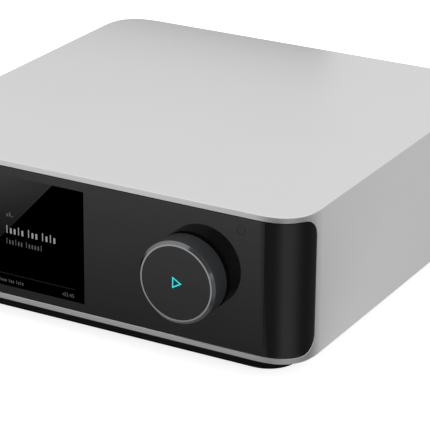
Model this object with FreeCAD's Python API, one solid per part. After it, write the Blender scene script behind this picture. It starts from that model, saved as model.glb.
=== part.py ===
import FreeCAD, Part
import math
import os

# Streaming amplifier: a square metal box with a wrapped black fascia, a round control knob and a
# recessed connector bay at the back. Millimetres, +Z up, front at -Y. The origin is the middle of
# the pad that it stands on, under the middle of the metal body.

vector = FreeCAD.Vector
axis_x = vector(1, 0, 0)
axis_y = vector(0, 1, 0)
axis_z = vector(0, 0, 1)

# Fits and gaps shared by many pieces
hairline = 0.15                 # shadow gap between the fascia and the metal body
slip_gap = 0.1                  # one fixed piece dropped into another
running_gap = 0.05              # radial clearance of what turns or slides
facing_gap = 0.1                # between flat faces that move apart
same_place = 0.001              # two places closer than this are one

# Metal body
body_width = 200.0
body_depth = 200.0
base_height = 10.4              # floor to the metal body's underside
body_height = 62.6              # of the metal body alone
wall = 2.5
corner_radius = 14.2            # main arc of each corner, seen from above
corner_lead_radius = 34.0       # softer arc that leads into it on both sides
corner_lead_angle = 13.0        # turn taken by that softer arc, degrees
rim_round = 0.4                 # broken edge round the top and bottom faces
window_chamfer = 0.15           # round the front window's outer edge

# Base pan under the body
plinth_inset = 13.8             # pan's outside, in from the body's outside
plinth_corner = 13.0
plinth_wall = 3.0
plinth_floor = 2.5
pad_thickness = 1.2
pad_inset = 0.3                 # pad's edge, in from the pan's edge
vent_count = 12
vent_width = 3.0
vent_height = 3.2
vent_pitch = 8.0
base_screw_inset = 18.4         # screw line, in from the body's outside
base_screw_offset = 50.0        # of each pair of screws from the middle of its side
boss_radius = 3.5
flange_past_screw = 3.6         # metal floor flange beyond the screw line

# Screws
case_screw_radius = 1.5
case_head_radius = 2.8
case_head_height = 1.7
board_screw_radius = 1.25
board_head_radius = 2.3
board_head_height = 1.6
board_screw_grip = 5.0          # length of thread in a boss

# Fascia and its flat glass
fascia_wrap = 15.45             # along the side wall, from the front plane
fascia_end_round = 8.0          # of the wrap's rear corners
fascia_wall = 2.4
fascia_plate = 2.5              # plate behind the glass
fascia_plate_past_seam = 4.0
glass_thickness = 1.6
seam_inset = 15.24              # seam of the glass, in from the body's side
seam_gap = 0.1
fascia_screw_inset = 20.0       # from the body's side
fascia_screw_drop = 4.6         # from the window's upper and lower edges
lug_half_width = 4.0            # metal lugs that take the fascia and bay screws
lug_height = 9.0
lug_depth = 10.0
lug_clearance = 2.0             # between a lug and the nearest socket

# Display
display_width = 74.3            # lit area
display_edge_gap = 4.0          # lit area's upper and lower edges, in from the window's
display_from_seam = 12.1        # lit area's left edge from the left seam
display_border = 2.4
display_thickness = 2.5
bracket_thickness = 1.0
bracket_margin = 0.9            # bracket past the display
bracket_tab = 7.5               # bracket past the display, on the screw side
bracket_screw_spread = 39.0
ribbon_width = 12.0
ribbon_thickness = 0.3
ribbon_bend = 2.0
ribbon_height = 23.0            # ribbon's level behind the display
ribbon_from_right = 7.0         # from the display's right edge
ribbon_landing = 2.5            # from the main board's front edge

# Control knob, measured out from the glass front
knob_from_seam = 33.24          # knob's axis from the right seam
knob_radius = 17.48
knob_proud = 11.36
knob_chamfer_depth = 1.06
knob_chamfer_width = 1.18
knob_rim = 0.7                  # bright flat ring round the face
knob_back_gap = 1.45            # between the barrel and the glass
knob_wall = 2.0
knob_web = 1.8
face_recess = 0.15
face_thickness = 1.5
face_gap = 0.1
carrier_disc = 2.4
hub_outer_radius = 6.0
rod_radius = 4.0
press_travel = 0.6              # the whole knob, pressed

# Turning sensor behind the knob, measured back from the glass front
neck_radius = 8.0
neck_wall_start = 0.4
housing_half = 15.0
housing_depth = 7.9
housing_front_wall = 2.1
rotor_radius = 10.0
rotor_pocket_gap = 0.6
knob_bracket_plate = 1.2
hub_past_bracket = 0.8
yoke_gap = 0.2
yoke_thickness = 1.2
yoke_half_height = 4.0
yoke_tail = 5.0                 # square tail of the rod in the yoke
standoff_spread = 18.0
standoff_radius = 2.5
knob_board_length = 44.0
housing_screw_spread = 12.0
switch_side = 6.2
switch_height = 2.6
switch_floor = 0.2
plunger_radius = 1.7
plunger_length = 2.5

# Play sign in the knob's face
sign_left = 1.7
sign_tip = 2.55
sign_height = 4.9
sign_stroke = 0.45

# Infrared receiver
receiver_from_seam = 10.4
receiver_from_top = 5.4
receiver_radius = 1.85
receiver_recess = 0.4
receiver_side = 6.0
receiver_depth = 3.5
receiver_shift = 1.6            # body's middle, inwards of the lens

# Circuit boards
board_above_body_floor = 5.6
board_thickness = 1.6
board_side_margin = 7.0         # in from the flange's opening
board_rear_gap = 0.5            # from the bay's back
board_front_reach = 48.0        # from the front plane
board_split = -20.0             # gap between the two boards, from the middle
board_split_gap = 4.0
board_hole_inset = 6.0
board_rear_hole_inset = 22.0

# Connector bay
bay_side_inset = 18.0           # bay's mouth, in from the body's side
bay_depth = 9.4                 # from the rear plane to the bay's face
bay_wall = 1.8
bay_face = 2.5
bay_lip = 0.3                   # tray's edge, in from the rear plane
bay_flange = 6.0
bay_screw_inset = 24.0          # from the body's side
upper_row_drop = 20.5           # upper row's centres, down from the window's top

# Upright board behind the bay
jack_board_gap = 6.9            # from its face to the bay's back
jack_board_side_gap = 4.0       # from the bay's side
jack_board_lift = 3.4           # lower edge above the tallest socket
jack_board_above = 10.0         # upper edge above the upper row
tongue_margin = 2.0             # header's end past the tongue
header_clearance = 1.5          # between the header and the nearest socket
header_depth = 8.4
header_height = 7.4
header_floor = 1.4

# Speaker posts
stud_radius = 3.2
stud_bore = 2.0
stud_bore_depth = 17.4
stud_shoulder = 5.0
stud_shoulder_length = 4.0
stud_tail = 4.0                 # past the upright board
collar_radius = 7.2
collar_length = 3.0
clamp_radius = 6.4
clamp_length = 1.6
cap_radius = 7.2
cap_length = 10.2
cap_end = 1.0
cap_end_gap = 0.2
cap_end_hole = 2.3
flute_count = 12
flute_radius = 0.9
flute_depth = 0.5

# Phono sockets
phono_radius = 4.15
phono_root_radius = 4.6         # barrel inside its coloured ring and the bay's face
phono_bore = 3.5
phono_length = 8.8
phono_ring_radius = 6.0
phono_ring_length = 1.2
phono_core_short = 0.8
phono_pin_outer = 2.1
phono_pin_bore = 1.6

# Trigger jack and pairing button
trigger_radius = 4.0
trigger_bore = 1.8
trigger_proud = 0.8
trigger_depth = 15.4
trigger_blind = 1.4
button_radius = 2.2
button_proud = 0.6
button_travel = 0.5
button_flange = 3.2
button_flange_length = 1.0

# Lower row of sockets
socket_gap = 2.6                # between neighbours
socket_proud = 0.6
ethernet_width = 16.0
ethernet_height = 13.5
ethernet_depth = 18.0
ethernet_cavity_width = 11.9
ethernet_cavity_height = 8.2
ethernet_cavity_depth = 14.0
ethernet_cavity_lift = 3.4
ethernet_latch_width = 5.0
ethernet_latch_height = 2.0
usb_width = 13.2
usb_height = 5.8
usb_depth = 14.0
usb_lift = 0.6
usb_tongue = 1.8
usb_tongue_drop = 1.1
hdmi_width = 15.0
hdmi_height = 5.6
hdmi_depth = 11.5
hdmi_chamfer = 1.4
thin_metal = 0.4
optical_width = 11.0
optical_height = 12.4
optical_depth = 17.0
optical_cavity = 8.4
optical_floor = 1.2
optical_cavity_depth = 10.7
flap_recess = 1.4
flap_thickness = 0.8
flap_side_gap = 0.2
flap_pin_radius = 0.6
flap_pin_back = 1.2             # pin behind the socket's mouth
flap_pin_drop = 0.7             # pin below the recess's top
flap_pin_reach = 0.9            # pin into each side wall

# Mains inlet
inlet_width = 24.0
inlet_height = 15.0
inlet_depth = 22.0
inlet_cavity_width = 16.4
inlet_cavity_height = 8.6
inlet_cavity_depth = 12.0
inlet_pin_spread = 4.3
inlet_pin_radius = 1.18
inlet_pin_length = 9.0
inlet_pin_tail = 4.0

# Parts on the main board
chip_side = 14.0
chip_height = 1.6
sink_clearance = 3.0            # between the heat sink and the capacitors
sink_length = 50.0
sink_base = 4.0
sink_height = 23.0
fin_count = 9
fin_thickness = 2.0
processor_side = 17.0
converter_side = 7.0
coil_count = 4
coil_gap = 1.5
coil_height = 8.0
can_radius = 5.0
can_height = 20.0
can_pitch = 14.0

# Parts on the power board
transformer_side = 34.0
transformer_height = 28.0
transformer_clearance = 3.5     # from the link between the boards
winding_radius = 13.0
winding_height = 16.0
bulk_gap = 1.0                  # round each large capacitor
bulk_height = 30.0
choke_width = 18.0
choke_length = 14.0
choke_height = 20.0
film_width = 18.0
film_length = 8.0
film_height = 14.0
fuse_radius = 2.6
fuse_length = 20.0
fuse_clearance = 0.9            # between the fuse and the mains inlet
link_width = 12.0
link_length = 20.0
link_height = 7.0

# Aerial boards in the fascia's ends
aerial_thickness = 0.8
aerial_depth = 11.0
aerial_height = 28.0
aerial_past_lug = 1.0


# Places worked out from the sizes above
half_width = body_width / 2
front_y = -body_depth / 2
rear_y = body_depth / 2
shell_bottom = base_height
body_top = base_height + body_height
window_bottom = shell_bottom + wall
window_top = body_top - wall
window_middle = (window_bottom + window_top) / 2
pan_bottom = pad_thickness
pan_floor_top = pan_bottom + plinth_floor
flange_inset = base_screw_inset + flange_past_screw
opening_half = half_width - flange_inset
seam_x = half_width - seam_inset
plate_back = front_y + glass_thickness + fascia_plate
knob_x = seam_x - knob_from_seam
knob_z = window_middle
display_height = window_top - window_bottom - 2 * display_edge_gap
display_left = -seam_x + display_from_seam
display_right = display_left + display_width
board_bottom = shell_bottom + board_above_body_floor
board_top = board_bottom + board_thickness
bay_face_y = rear_y - bay_depth
bay_back_y = bay_face_y - bay_face
bay_half = half_width - bay_side_inset
bay_screw_x = half_width - bay_screw_inset
upper_row = window_top - upper_row_drop
jack_face_y = bay_back_y - jack_board_gap
jack_back_y = jack_face_y - board_thickness
board_rear = bay_back_y - board_rear_gap
board_front = front_y + board_front_reach
board_outer = opening_half - board_side_margin


# Shapes
def block(x0, x1, y0, y1, z0, z1):
    """A box between two corners."""
    return Part.makeBox(x1 - x0, y1 - y0, z1 - z0, vector(x0, y0, z0))


def bar(x, width, y0, y1, z0, z1):
    """A box of the width given, centred on x."""
    return block(x - width / 2, x + width / 2, y0, y1, z0, z1)


def rod_y(x, z, radius, y0, y1):
    """A cylinder along Y."""
    return Part.makeCylinder(radius, y1 - y0, vector(x, y0, z), axis_y)


def rod_z(x, y, radius, z0, z1):
    """A cylinder along Z."""
    return Part.makeCylinder(radius, z1 - z0, vector(x, y, z0), axis_z)


def pipe_y(x, z, outer, inner, y0, y1):
    """A tube along Y."""
    return rod_y(x, z, outer, y0, y1).cut(rod_y(x, z, inner, y0, y1))


def turned(x, z, profile):
    """A solid turned about an axis along Y, from (radius, y) points."""
    points = [vector(x + radius, y, z) for radius, y in profile]
    face = Part.Face(Part.makePolygon(points + points[:1]))
    return face.revolve(vector(x, 0, z), axis_y, 360)


def joined(shapes):
    """Pieces that are one solid."""
    return shapes[0].fuse(shapes[1:]).removeSplitter()


def less(shape, tools):
    """A shape with others cut out of it."""
    return shape.cut(tools).removeSplitter()


def rounded_plate(half_x, half_y, corner, z0, z1):
    """An upright-sided plate with round corners."""
    plate = block(-half_x, half_x, -half_y, half_y, z0, z1)
    upright = [edge for edge in plate.Edges if abs(edge.tangentAt(0).z) > 0.9]
    return plate.makeFillet(corner, upright)


def arc_point(centre, radius, angle):
    return vector(centre.x + radius * math.cos(angle), centre.y + radius * math.sin(angle), centre.z)


def body_outline(inset, z):
    """The body's plan outline, moved in by an inset: each corner is a soft, a tight and a soft arc."""
    lead = corner_lead_radius - inset
    main = corner_radius - inset
    turn = math.radians(corner_lead_angle)
    span = lead * (math.sin(turn) + 1 - math.cos(turn)) + main * (math.cos(turn) - math.sin(turn))
    half_x = half_width - inset
    half_y = rear_y - inset
    edges = []
    starts = []
    for quarter in range(4):
        first = quarter % 2 == 0
        along = half_y if first else half_x
        out = half_x if first else half_y
        # one corner, drawn with the side that it leaves on its right and then turned into place
        centre_one = vector(out - lead, along - span, z)
        centre_two = centre_one + vector(math.cos(turn), math.sin(turn), 0) * (lead - main)
        centre_three = centre_two + vector(math.sin(turn), math.cos(turn), 0) * (main - lead)
        arcs = [
            (centre_one, lead, 0, turn),
            (centre_two, main, turn, math.pi / 2 - turn),
            (centre_three, lead, math.pi / 2 - turn, math.pi / 2),
        ]
        place = FreeCAD.Rotation(axis_z, 90 * quarter)
        for centre, radius, begin, end in arcs:
            marks = [arc_point(centre, radius, begin + (end - begin) * part / 2) for part in range(3)]
            marks = [place.multVec(mark) for mark in marks]
            edges.append(Part.Arc(*marks).toShape())
        starts.append((edges[-3].valueAt(edges[-3].FirstParameter), marks[2]))
    for quarter in range(4):
        edges.append(Part.makeLine(starts[quarter][1], starts[(quarter + 1) % 4][0]))
    return Part.Wire(Part.__sortEdges__(edges))


def body_prism(inset, z0, z1):
    """The body's plan outline as a solid between two levels."""
    return Part.Face(body_outline(inset, z0)).extrude(vector(0, 0, z1 - z0))


def window_prism(shrink):
    """Everything in front of the fascia's rear edge, between its upper and lower edges."""
    low = window_bottom + shrink
    high = window_top - shrink
    end = front_y + fascia_wrap - shrink
    prism = block(-body_width, body_width, front_y - wall, end, low, high)
    rear = [edge for edge in prism.Edges
            if abs(edge.tangentAt(0).x) > 0.9 and abs(edge.CenterOfMass.y - end) < same_place]
    return prism.makeFillet(fascia_end_round - shrink, rear)


def case_screw(x, y, z, direction, length):
    """A countersunk screw with its head's flat at the point given and its shank along direction."""
    head = Part.makeCone(case_head_radius, case_screw_radius, case_head_height,
                         vector(x, y, z), direction)
    shank = Part.makeCylinder(case_screw_radius, length, vector(x, y, z), direction)
    return joined([head, shank])


def case_screw_hole(x, y, z, direction, length):
    """The room that a countersunk screw needs."""
    head = Part.makeCone(case_head_radius + running_gap, case_screw_radius + running_gap,
                         case_head_height, vector(x, y, z), direction)
    shank = Part.makeCylinder(case_screw_radius + running_gap, length, vector(x, y, z), direction)
    return joined([head, shank])


def board_screw(x, y, z, direction, length):
    """A pan-head screw seated at the point given, with its shank along direction."""
    seat = vector(x, y, z)
    shank = Part.makeCylinder(board_screw_radius, length, seat, direction)
    head = Part.makeCylinder(board_head_radius, board_head_height, seat, direction * -1)
    return joined([shank, head])


def board_screw_hole(x, y, z, direction, length):
    return Part.makeCylinder(board_screw_radius + running_gap, length, vector(x, y, z), direction)


def save(name, *solids):
    """Write one node, as one solid or as a group of separate ones."""
    shape = solids[0] if len(solids) == 1 else Part.makeCompound(list(solids))
    shape.exportStep("parts/" + name + ".step")


os.makedirs("parts", exist_ok=True)

# Screw places
base_screw_length = shell_bottom + wall - pan_bottom
base_screw_x = half_width - base_screw_inset
base_screw_y = rear_y - base_screw_inset
base_places = []
for side in (-1, 1):
    for shift in (-base_screw_offset, base_screw_offset):
        base_places.append((side * base_screw_x, shift))
        base_places.append((shift, side * base_screw_y))

lug_levels = [window_bottom + fascia_screw_drop, window_top - fascia_screw_drop]
fascia_screw_x = half_width - fascia_screw_inset
fascia_screw_y = front_y + glass_thickness
case_screw_length = fascia_plate + lug_depth - wall
fascia_places = [(side * fascia_screw_x, level) for side in (-1, 1) for level in lug_levels]
bay_places = [(side * bay_screw_x, level) for side in (-1, 1) for level in lug_levels]

main_left = board_split + board_split_gap / 2
power_right = board_split - board_split_gap / 2
board_hole_front = board_front + board_hole_inset
board_hole_rear = board_rear - board_rear_hole_inset
main_holes = [
    (main_left + board_hole_inset, board_hole_front),
    (board_outer - board_hole_inset, board_hole_front),
    (main_left + board_hole_inset, board_hole_rear),
    (board_outer - board_hole_inset, board_hole_rear),
]
power_holes = [
    (-board_outer + board_hole_inset, board_hole_front),
    (power_right - board_hole_inset, board_hole_front),
    (-board_outer + board_hole_inset, board_hole_rear),
    (power_right - board_hole_inset, board_hole_rear),
]


# Metal body: top, sides, rear corners and a floor flange in one piece
outline_wall = body_outline(0, shell_bottom).extrude(axis_z * body_height)


def on_window_edge(edge):
    """Whether an edge runs round the front window on the body's outside."""
    middle = edge.valueAt((edge.FirstParameter + edge.LastParameter) / 2)
    points = [vertex.Point for vertex in edge.Vertexes] + [middle]
    behind = max(point.y for point in points) > front_y + fascia_wrap + same_place
    below = min(point.z for point in points) < window_bottom - same_place
    above = max(point.z for point in points) > window_top + same_place
    if behind or below or above:
        return False
    return outline_wall.distToShape(Part.Vertex(middle))[0] < same_place


def make_shell():
    outside = body_prism(0, shell_bottom, body_top)
    rims = [edge for edge in outside.Edges
            if min(abs(edge.CenterOfMass.z - shell_bottom), abs(edge.CenterOfMass.z - body_top)) < same_place]
    outside = outside.makeFillet(rim_round, rims)
    room = body_prism(wall, window_bottom, window_top)
    floor_opening = rounded_plate(opening_half, rear_y - flange_inset, plinth_corner,
                                  shell_bottom - wall, window_bottom)
    bay_mouth = block(-bay_half, bay_half, rear_y - 2 * wall, rear_y + wall, window_bottom, window_top)
    body = outside.cut([room, floor_opening, window_prism(0)])
    body = body.makeChamfer(window_chamfer, [edge for edge in body.Edges if on_window_edge(edge)])
    holes = [rod_z(x, y, case_screw_radius + running_gap, shell_bottom - wall, window_bottom + wall)
             for x, y in base_places]
    return less(body, [bay_mouth] + holes)


def make_lug(x, level, y0, y1, blind):
    """A screw lug welded under the top plate or on the floor flange, with its hole open at one end."""
    low = window_top - lug_height if level > window_middle else window_bottom
    body = block(x - lug_half_width, x + lug_half_width, y0, y1, low, low + lug_height)
    begin = y0 + wall / 2 if blind == "front" else y0
    finish = y1 - wall / 2 if blind == "back" else y1
    return body.cut(rod_y(x, level, case_screw_radius + running_gap, begin, finish))


save("shell", make_shell())
save("screw_lugs",
     *[make_lug(x, level, plate_back, plate_back + lug_depth, "back") for x, level in fascia_places],
     *[make_lug(x, level, bay_back_y - lug_depth, bay_back_y, "front") for x, level in bay_places])


# Fascia: black moulding that wraps both front corners, with a plate behind the glass
def make_fascia():
    low = window_bottom + hairline
    high = window_top - hairline
    band = body_prism(0, low, high).cut(body_prism(fascia_wall, low, high))
    band = band.common(window_prism(hairline))
    plate_half = seam_x + fascia_plate_past_seam
    plate = block(-plate_half, plate_half, front_y, plate_back, low, high).common(body_prism(0, low, high))
    glass_room = block(-seam_x, seam_x, front_y - wall, front_y + glass_thickness, low - wall, high + wall)
    display_room = block(display_left - display_border - slip_gap, display_right + display_border + slip_gap,
                         front_y, plate_back + wall,
                         window_middle - display_height / 2 - display_border + bracket_margin - slip_gap,
                         window_middle + display_height / 2 + display_border - bracket_margin + slip_gap)
    holes = [glass_room, display_room]
    holes.append(rod_y(knob_x, knob_z, neck_radius + slip_gap, front_y, plate_back + wall))
    holes.append(rod_y(receiver_x, receiver_z, receiver_radius + slip_gap, front_y, plate_back + wall))
    for x, level in fascia_places:
        holes.append(case_screw_hole(x, fascia_screw_y, level, axis_y, case_screw_length))
    for x, z in housing_screws:
        holes.append(board_screw_hole(x, plate_back - fascia_plate, z, axis_y, fascia_plate + wall))
    for z in bracket_screws:
        holes.append(board_screw_hole(bracket_screw_x, plate_back - fascia_plate, z, axis_y,
                                      fascia_plate + wall))
    return less(joined([band, plate]), holes)


receiver_x = seam_x - receiver_from_seam
receiver_z = window_top - receiver_from_top
housing_screws = [(knob_x + sx * housing_screw_spread, knob_z + sz * housing_screw_spread)
                  for sx in (-1, 1) for sz in (-1, 1)]
bracket_screw_x = display_right + display_border + bracket_tab / 2
bracket_screws = [window_middle - bracket_screw_spread / 2, window_middle + bracket_screw_spread / 2]
save("front_fascia", make_fascia())


def make_glass():
    low = window_bottom + hairline
    high = window_top - hairline
    half = seam_x - seam_gap
    sheet = block(-half, half, front_y, front_y + glass_thickness, low, high).common(body_prism(0, low, high))
    holes = [
        rod_y(knob_x, knob_z, neck_radius + slip_gap, front_y - wall, plate_back),
        rod_y(receiver_x, receiver_z, receiver_radius + slip_gap, front_y - wall, plate_back),
    ]
    return less(sheet, holes)


save("front_glass", make_glass())

# Display, bonded behind the glass in the fascia's opening
display_low = window_middle - display_height / 2 - display_border + bracket_margin
display_high = window_middle + display_height / 2 + display_border - bracket_margin
save("display_panel", block(display_left - display_border, display_right + display_border,
                            front_y + glass_thickness, front_y + glass_thickness + display_thickness,
                            display_low, display_high))


def make_display_bracket():
    left = display_left - display_border - bracket_margin / 2
    right = display_right + display_border + bracket_tab
    plate = block(left, right, plate_back, plate_back + bracket_thickness,
                  display_low - bracket_margin, display_high + bracket_margin)
    slot = block(ribbon_left - slip_gap, ribbon_left + ribbon_width + slip_gap, plate_back - wall,
                 plate_back + wall, ribbon_height - bracket_thickness, ribbon_height + 2 * bracket_thickness)
    holes = [board_screw_hole(bracket_screw_x, plate_back - wall, z, axis_y, 2 * wall)
             for z in bracket_screws]
    return less(plate, [slot] + holes)


ribbon_left = display_right - ribbon_from_right - ribbon_width
save("display_bracket", make_display_bracket())


def make_ribbon():
    """A flat ribbon straight back from the display, then bent down to the main board."""
    landing = board_front + ribbon_landing
    outer = ribbon_bend + ribbon_thickness
    top = ribbon_height + ribbon_thickness
    corner = landing - ribbon_bend
    half_turn = math.radians(45)

    def mark(y, z):
        return vector(ribbon_left, y, z)

    def bend(radius):
        middle = mark(corner + radius * math.sin(half_turn),
                      ribbon_height - ribbon_bend + radius * math.cos(half_turn))
        return middle

    edges = [
        Part.makeLine(mark(plate_back, ribbon_height), mark(corner, ribbon_height)),
        Part.Arc(mark(corner, ribbon_height), bend(ribbon_bend),
                 mark(landing, ribbon_height - ribbon_bend)).toShape(),
        Part.makeLine(mark(landing, ribbon_height - ribbon_bend), mark(landing, board_top)),
        Part.makeLine(mark(landing, board_top), mark(landing + ribbon_thickness, board_top)),
        Part.makeLine(mark(landing + ribbon_thickness, board_top),
                      mark(landing + ribbon_thickness, ribbon_height - ribbon_bend)),
        Part.Arc(mark(landing + ribbon_thickness, ribbon_height - ribbon_bend), bend(outer),
                 mark(corner, top)).toShape(),
        Part.makeLine(mark(corner, top), mark(plate_back, top)),
        Part.makeLine(mark(plate_back, top), mark(plate_back, ribbon_height)),
    ]
    return Part.Face(Part.Wire(edges)).extrude(axis_x * ribbon_width)


save("display_flex", make_ribbon())

# Infrared receiver: a dark lens through fascia and glass, on its square body
receiver_middle = receiver_x - receiver_shift
save("ir_receiver", joined([
    rod_y(receiver_x, receiver_z, receiver_radius, front_y + receiver_recess, plate_back),
    block(receiver_middle - receiver_side / 2, receiver_middle + receiver_side / 2, plate_back,
          plate_back + receiver_depth, receiver_z - receiver_side / 2, receiver_z + receiver_side / 2),
]))

# Knob: the outer ring turns on the rod of a carrier that only presses in and out
knob_front = front_y - knob_proud
face_radius = knob_radius - knob_chamfer_width - knob_rim
face_front = knob_front + face_recess
disc_front = face_front + face_thickness
disc_back = disc_front + carrier_disc
web_front = disc_back + facing_gap
web_back = web_front + knob_web
barrel_back = front_y - knob_back_gap
hub_bore = rod_radius + running_gap
housing_back = plate_back + housing_depth
bracket_back = housing_back + knob_bracket_plate
hub_back = bracket_back + hub_past_bracket
yoke_front = hub_back + yoke_gap
yoke_back = yoke_front + yoke_thickness
switch_front = yoke_back + press_travel + 2 * facing_gap
knob_board_front = switch_front + switch_height

save("knob_ring", turned(knob_x, knob_z, [
    (hub_bore, web_front),
    (face_radius, web_front),
    (face_radius, knob_front),
    (face_radius + knob_rim, knob_front),
    (knob_radius, knob_front + knob_chamfer_depth),
    (knob_radius, barrel_back),
    (knob_radius - knob_wall, barrel_back),
    (knob_radius - knob_wall, web_back),
    (hub_outer_radius, web_back),
    (hub_outer_radius, hub_back),
    (hub_bore, hub_back),
]))


def make_sign(y0, y1):
    """A play sign: the outline of an upright triangle."""
    left = knob_x - sign_left
    half = sign_height / 2
    corners = [vector(left, y0, knob_z - half), vector(knob_x + sign_tip, y0, knob_z),
               vector(left, y0, knob_z + half)]
    outer = Part.Face(Part.makePolygon(corners + corners[:1]))
    inner = outer.makeOffset2D(-sign_stroke, 2)
    return outer.cut(inner).extrude(vector(0, y1 - y0, 0))


sign = make_sign(face_front, disc_front)
save("play_icon", sign)
save("knob_face", less(rod_y(knob_x, knob_z, face_radius - face_gap, face_front, disc_front), [sign]))

tail_half = yoke_tail / 2
save("knob_carrier", joined([
    rod_y(knob_x, knob_z, face_radius - 2 * face_gap, disc_front, disc_back),
    rod_y(knob_x, knob_z, rod_radius, disc_back, yoke_front),
    bar(knob_x, yoke_tail, yoke_front, yoke_back, knob_z - tail_half, knob_z + tail_half),
]))


def make_yoke():
    """A flat bar on the rod's square tail, forked over both standoffs so that it can't turn."""
    reach = standoff_spread + standoff_radius
    fork = block(knob_x - reach, knob_x + reach, yoke_front, yoke_back,
                knob_z - yoke_half_height, knob_z + yoke_half_height)
    cuts = [bar(knob_x, yoke_tail, yoke_front, yoke_back, knob_z - tail_half, knob_z + tail_half)]
    fork_half = standoff_radius + facing_gap
    for side in (-1, 1):
        ends = sorted([knob_x + side * (standoff_spread - fork_half), knob_x + side * (reach + wall)])
        cuts.append(block(ends[0], ends[1], yoke_front, yoke_back, knob_z - fork_half, knob_z + fork_half))
    return less(fork, cuts)


save("knob_yoke", make_yoke())


def make_encoder_housing():
    """Square housing whose neck is the knob's bearing; its pocket is open to the back."""
    neck = rod_y(knob_x, knob_z, neck_radius, front_y + neck_wall_start, plate_back)
    case = block(knob_x - housing_half, knob_x + housing_half, plate_back, housing_back,
                 knob_z - housing_half, knob_z + housing_half)
    bore = rod_y(knob_x, knob_z, hub_outer_radius + running_gap, front_y, housing_back)
    pocket = rod_y(knob_x, knob_z, rotor_radius + rotor_pocket_gap,
                   plate_back + housing_front_wall, housing_back)
    holes = [board_screw_hole(x, plate_back, z, axis_y, housing_depth) for x, z in housing_screws]
    return less(joined([neck, case]), [bore, pocket] + holes)


save("encoder_housing", make_encoder_housing())

rotor_front = plate_back + housing_front_wall + rotor_pocket_gap
rotor_back = housing_back - rotor_pocket_gap - press_travel
save("encoder_rotor", pipe_y(knob_x, knob_z, rotor_radius, hub_outer_radius,
                             rotor_front, rotor_back))


def make_knob_bracket():
    """A plate that closes the pocket and holds two standoffs for the small board behind."""
    plate = bar(knob_x, knob_board_length, housing_back, bracket_back,
                knob_z - housing_half, knob_z + housing_half)
    posts = [rod_y(knob_x + side * standoff_spread, knob_z, standoff_radius, bracket_back, knob_board_front)
             for side in (-1, 1)]
    holes = [rod_y(knob_x, knob_z, hub_outer_radius + rotor_pocket_gap, housing_back, bracket_back)]
    holes += [board_screw_hole(x, housing_back, z, axis_y, knob_bracket_plate) for x, z in housing_screws]
    for side in (-1, 1):
        holes.append(board_screw_hole(knob_x + side * standoff_spread, knob_board_front - board_screw_grip,
                                      knob_z, axis_y, board_screw_grip))
    return less(joined([plate] + posts), holes)


save("knob_bracket", make_knob_bracket())

knob_board_back = knob_board_front + board_thickness
save("knob_board", less(
    bar(knob_x, knob_board_length, knob_board_front, knob_board_back,
        knob_z - housing_half, knob_z + housing_half),
    [board_screw_hole(knob_x + side * standoff_spread, knob_board_front, knob_z, axis_y, board_thickness)
     for side in (-1, 1)]))

save("switch_plunger", rod_y(knob_x, knob_z, plunger_radius, yoke_back, yoke_back + plunger_length))


# Connector bay: a plate across the body's open back, and a frame that lines the way to it
upper_row_widths = ([2 * cap_radius] * 4 + [2 * button_flange, 2 * trigger_radius]
                    + [2 * phono_ring_radius] * 3)
upper_row_gap = (2 * bay_half - sum(upper_row_widths)) / (len(upper_row_widths) + 1)
upper_row_places = []
reached = -bay_half
for width in upper_row_widths:
    upper_row_places.append(reached + upper_row_gap + width / 2)
    reached += upper_row_gap + width
post_places = upper_row_places[:4]
button_x = upper_row_places[4]
trigger_x = upper_row_places[5]
phono_places = upper_row_places[:5:-1]

lower_row_end = bay_screw_x - lug_half_width - lug_clearance
ethernet_x = lower_row_end - ethernet_width / 2
usb_x = ethernet_x - ethernet_width / 2 - socket_gap - usb_width / 2
hdmi_x = usb_x - usb_width / 2 - socket_gap - hdmi_width / 2
optical_x = hdmi_x - hdmi_width / 2 - socket_gap - optical_width / 2
inlet_x = -lower_row_end + inlet_width / 2
socket_mouth = bay_face_y + socket_proud


def socket_room(x, width, z0, height):
    """A hole through the bay's face for a socket that stands on the main board."""
    return bar(x, width + 2 * slip_gap, bay_back_y, bay_face_y, z0 - slip_gap, z0 + height + slip_gap)


def make_rear_panel():
    """Two plates: the lower one lines the sockets, the upper one carries the jacks and posts."""
    low = window_bottom + hairline
    high = window_top - hairline
    flange_half = bay_half + bay_flange
    split = (board_top + inlet_height + upper_row - collar_radius) / 2
    plates = [block(-flange_half, flange_half, bay_back_y, bay_face_y, z0, z1)
              for z0, z1 in ((low, split - slip_gap / 2), (split + slip_gap / 2, high))]
    holes = [
        socket_room(ethernet_x, ethernet_width, board_top, ethernet_height),
        socket_room(usb_x, usb_width, board_top + usb_lift, usb_height),
        socket_room(hdmi_x, hdmi_width, board_top, hdmi_height),
        socket_room(optical_x, optical_width, board_top, optical_height),
        socket_room(inlet_x, inlet_width, board_top, inlet_height),
        rod_y(trigger_x, upper_row, trigger_radius + slip_gap, bay_back_y, bay_face_y),
        rod_y(button_x, upper_row, button_radius + slip_gap, bay_back_y, bay_face_y),
    ]
    for x in phono_places:
        holes.append(rod_y(x, upper_row, phono_root_radius + slip_gap, bay_back_y, bay_face_y))
    for x in post_places:
        holes.append(rod_y(x, upper_row, stud_radius + slip_gap, bay_back_y, bay_face_y))
    for x, level in bay_places:
        holes.append(case_screw_hole(x, bay_face_y, level, axis_y * -1, case_screw_length))
    return [less(plate, holes) for plate in plates]


def make_rear_frame():
    low = window_bottom + hairline
    high = window_top - hairline
    half = bay_half - hairline
    inner = half - bay_wall
    outside = block(-half, half, bay_face_y, rear_y - bay_lip, low, high)
    return outside.cut(block(-inner, inner, bay_face_y, rear_y, low + bay_wall, high - bay_wall))


save("rear_panel", *make_rear_panel())
save("rear_frame", make_rear_frame())


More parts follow.
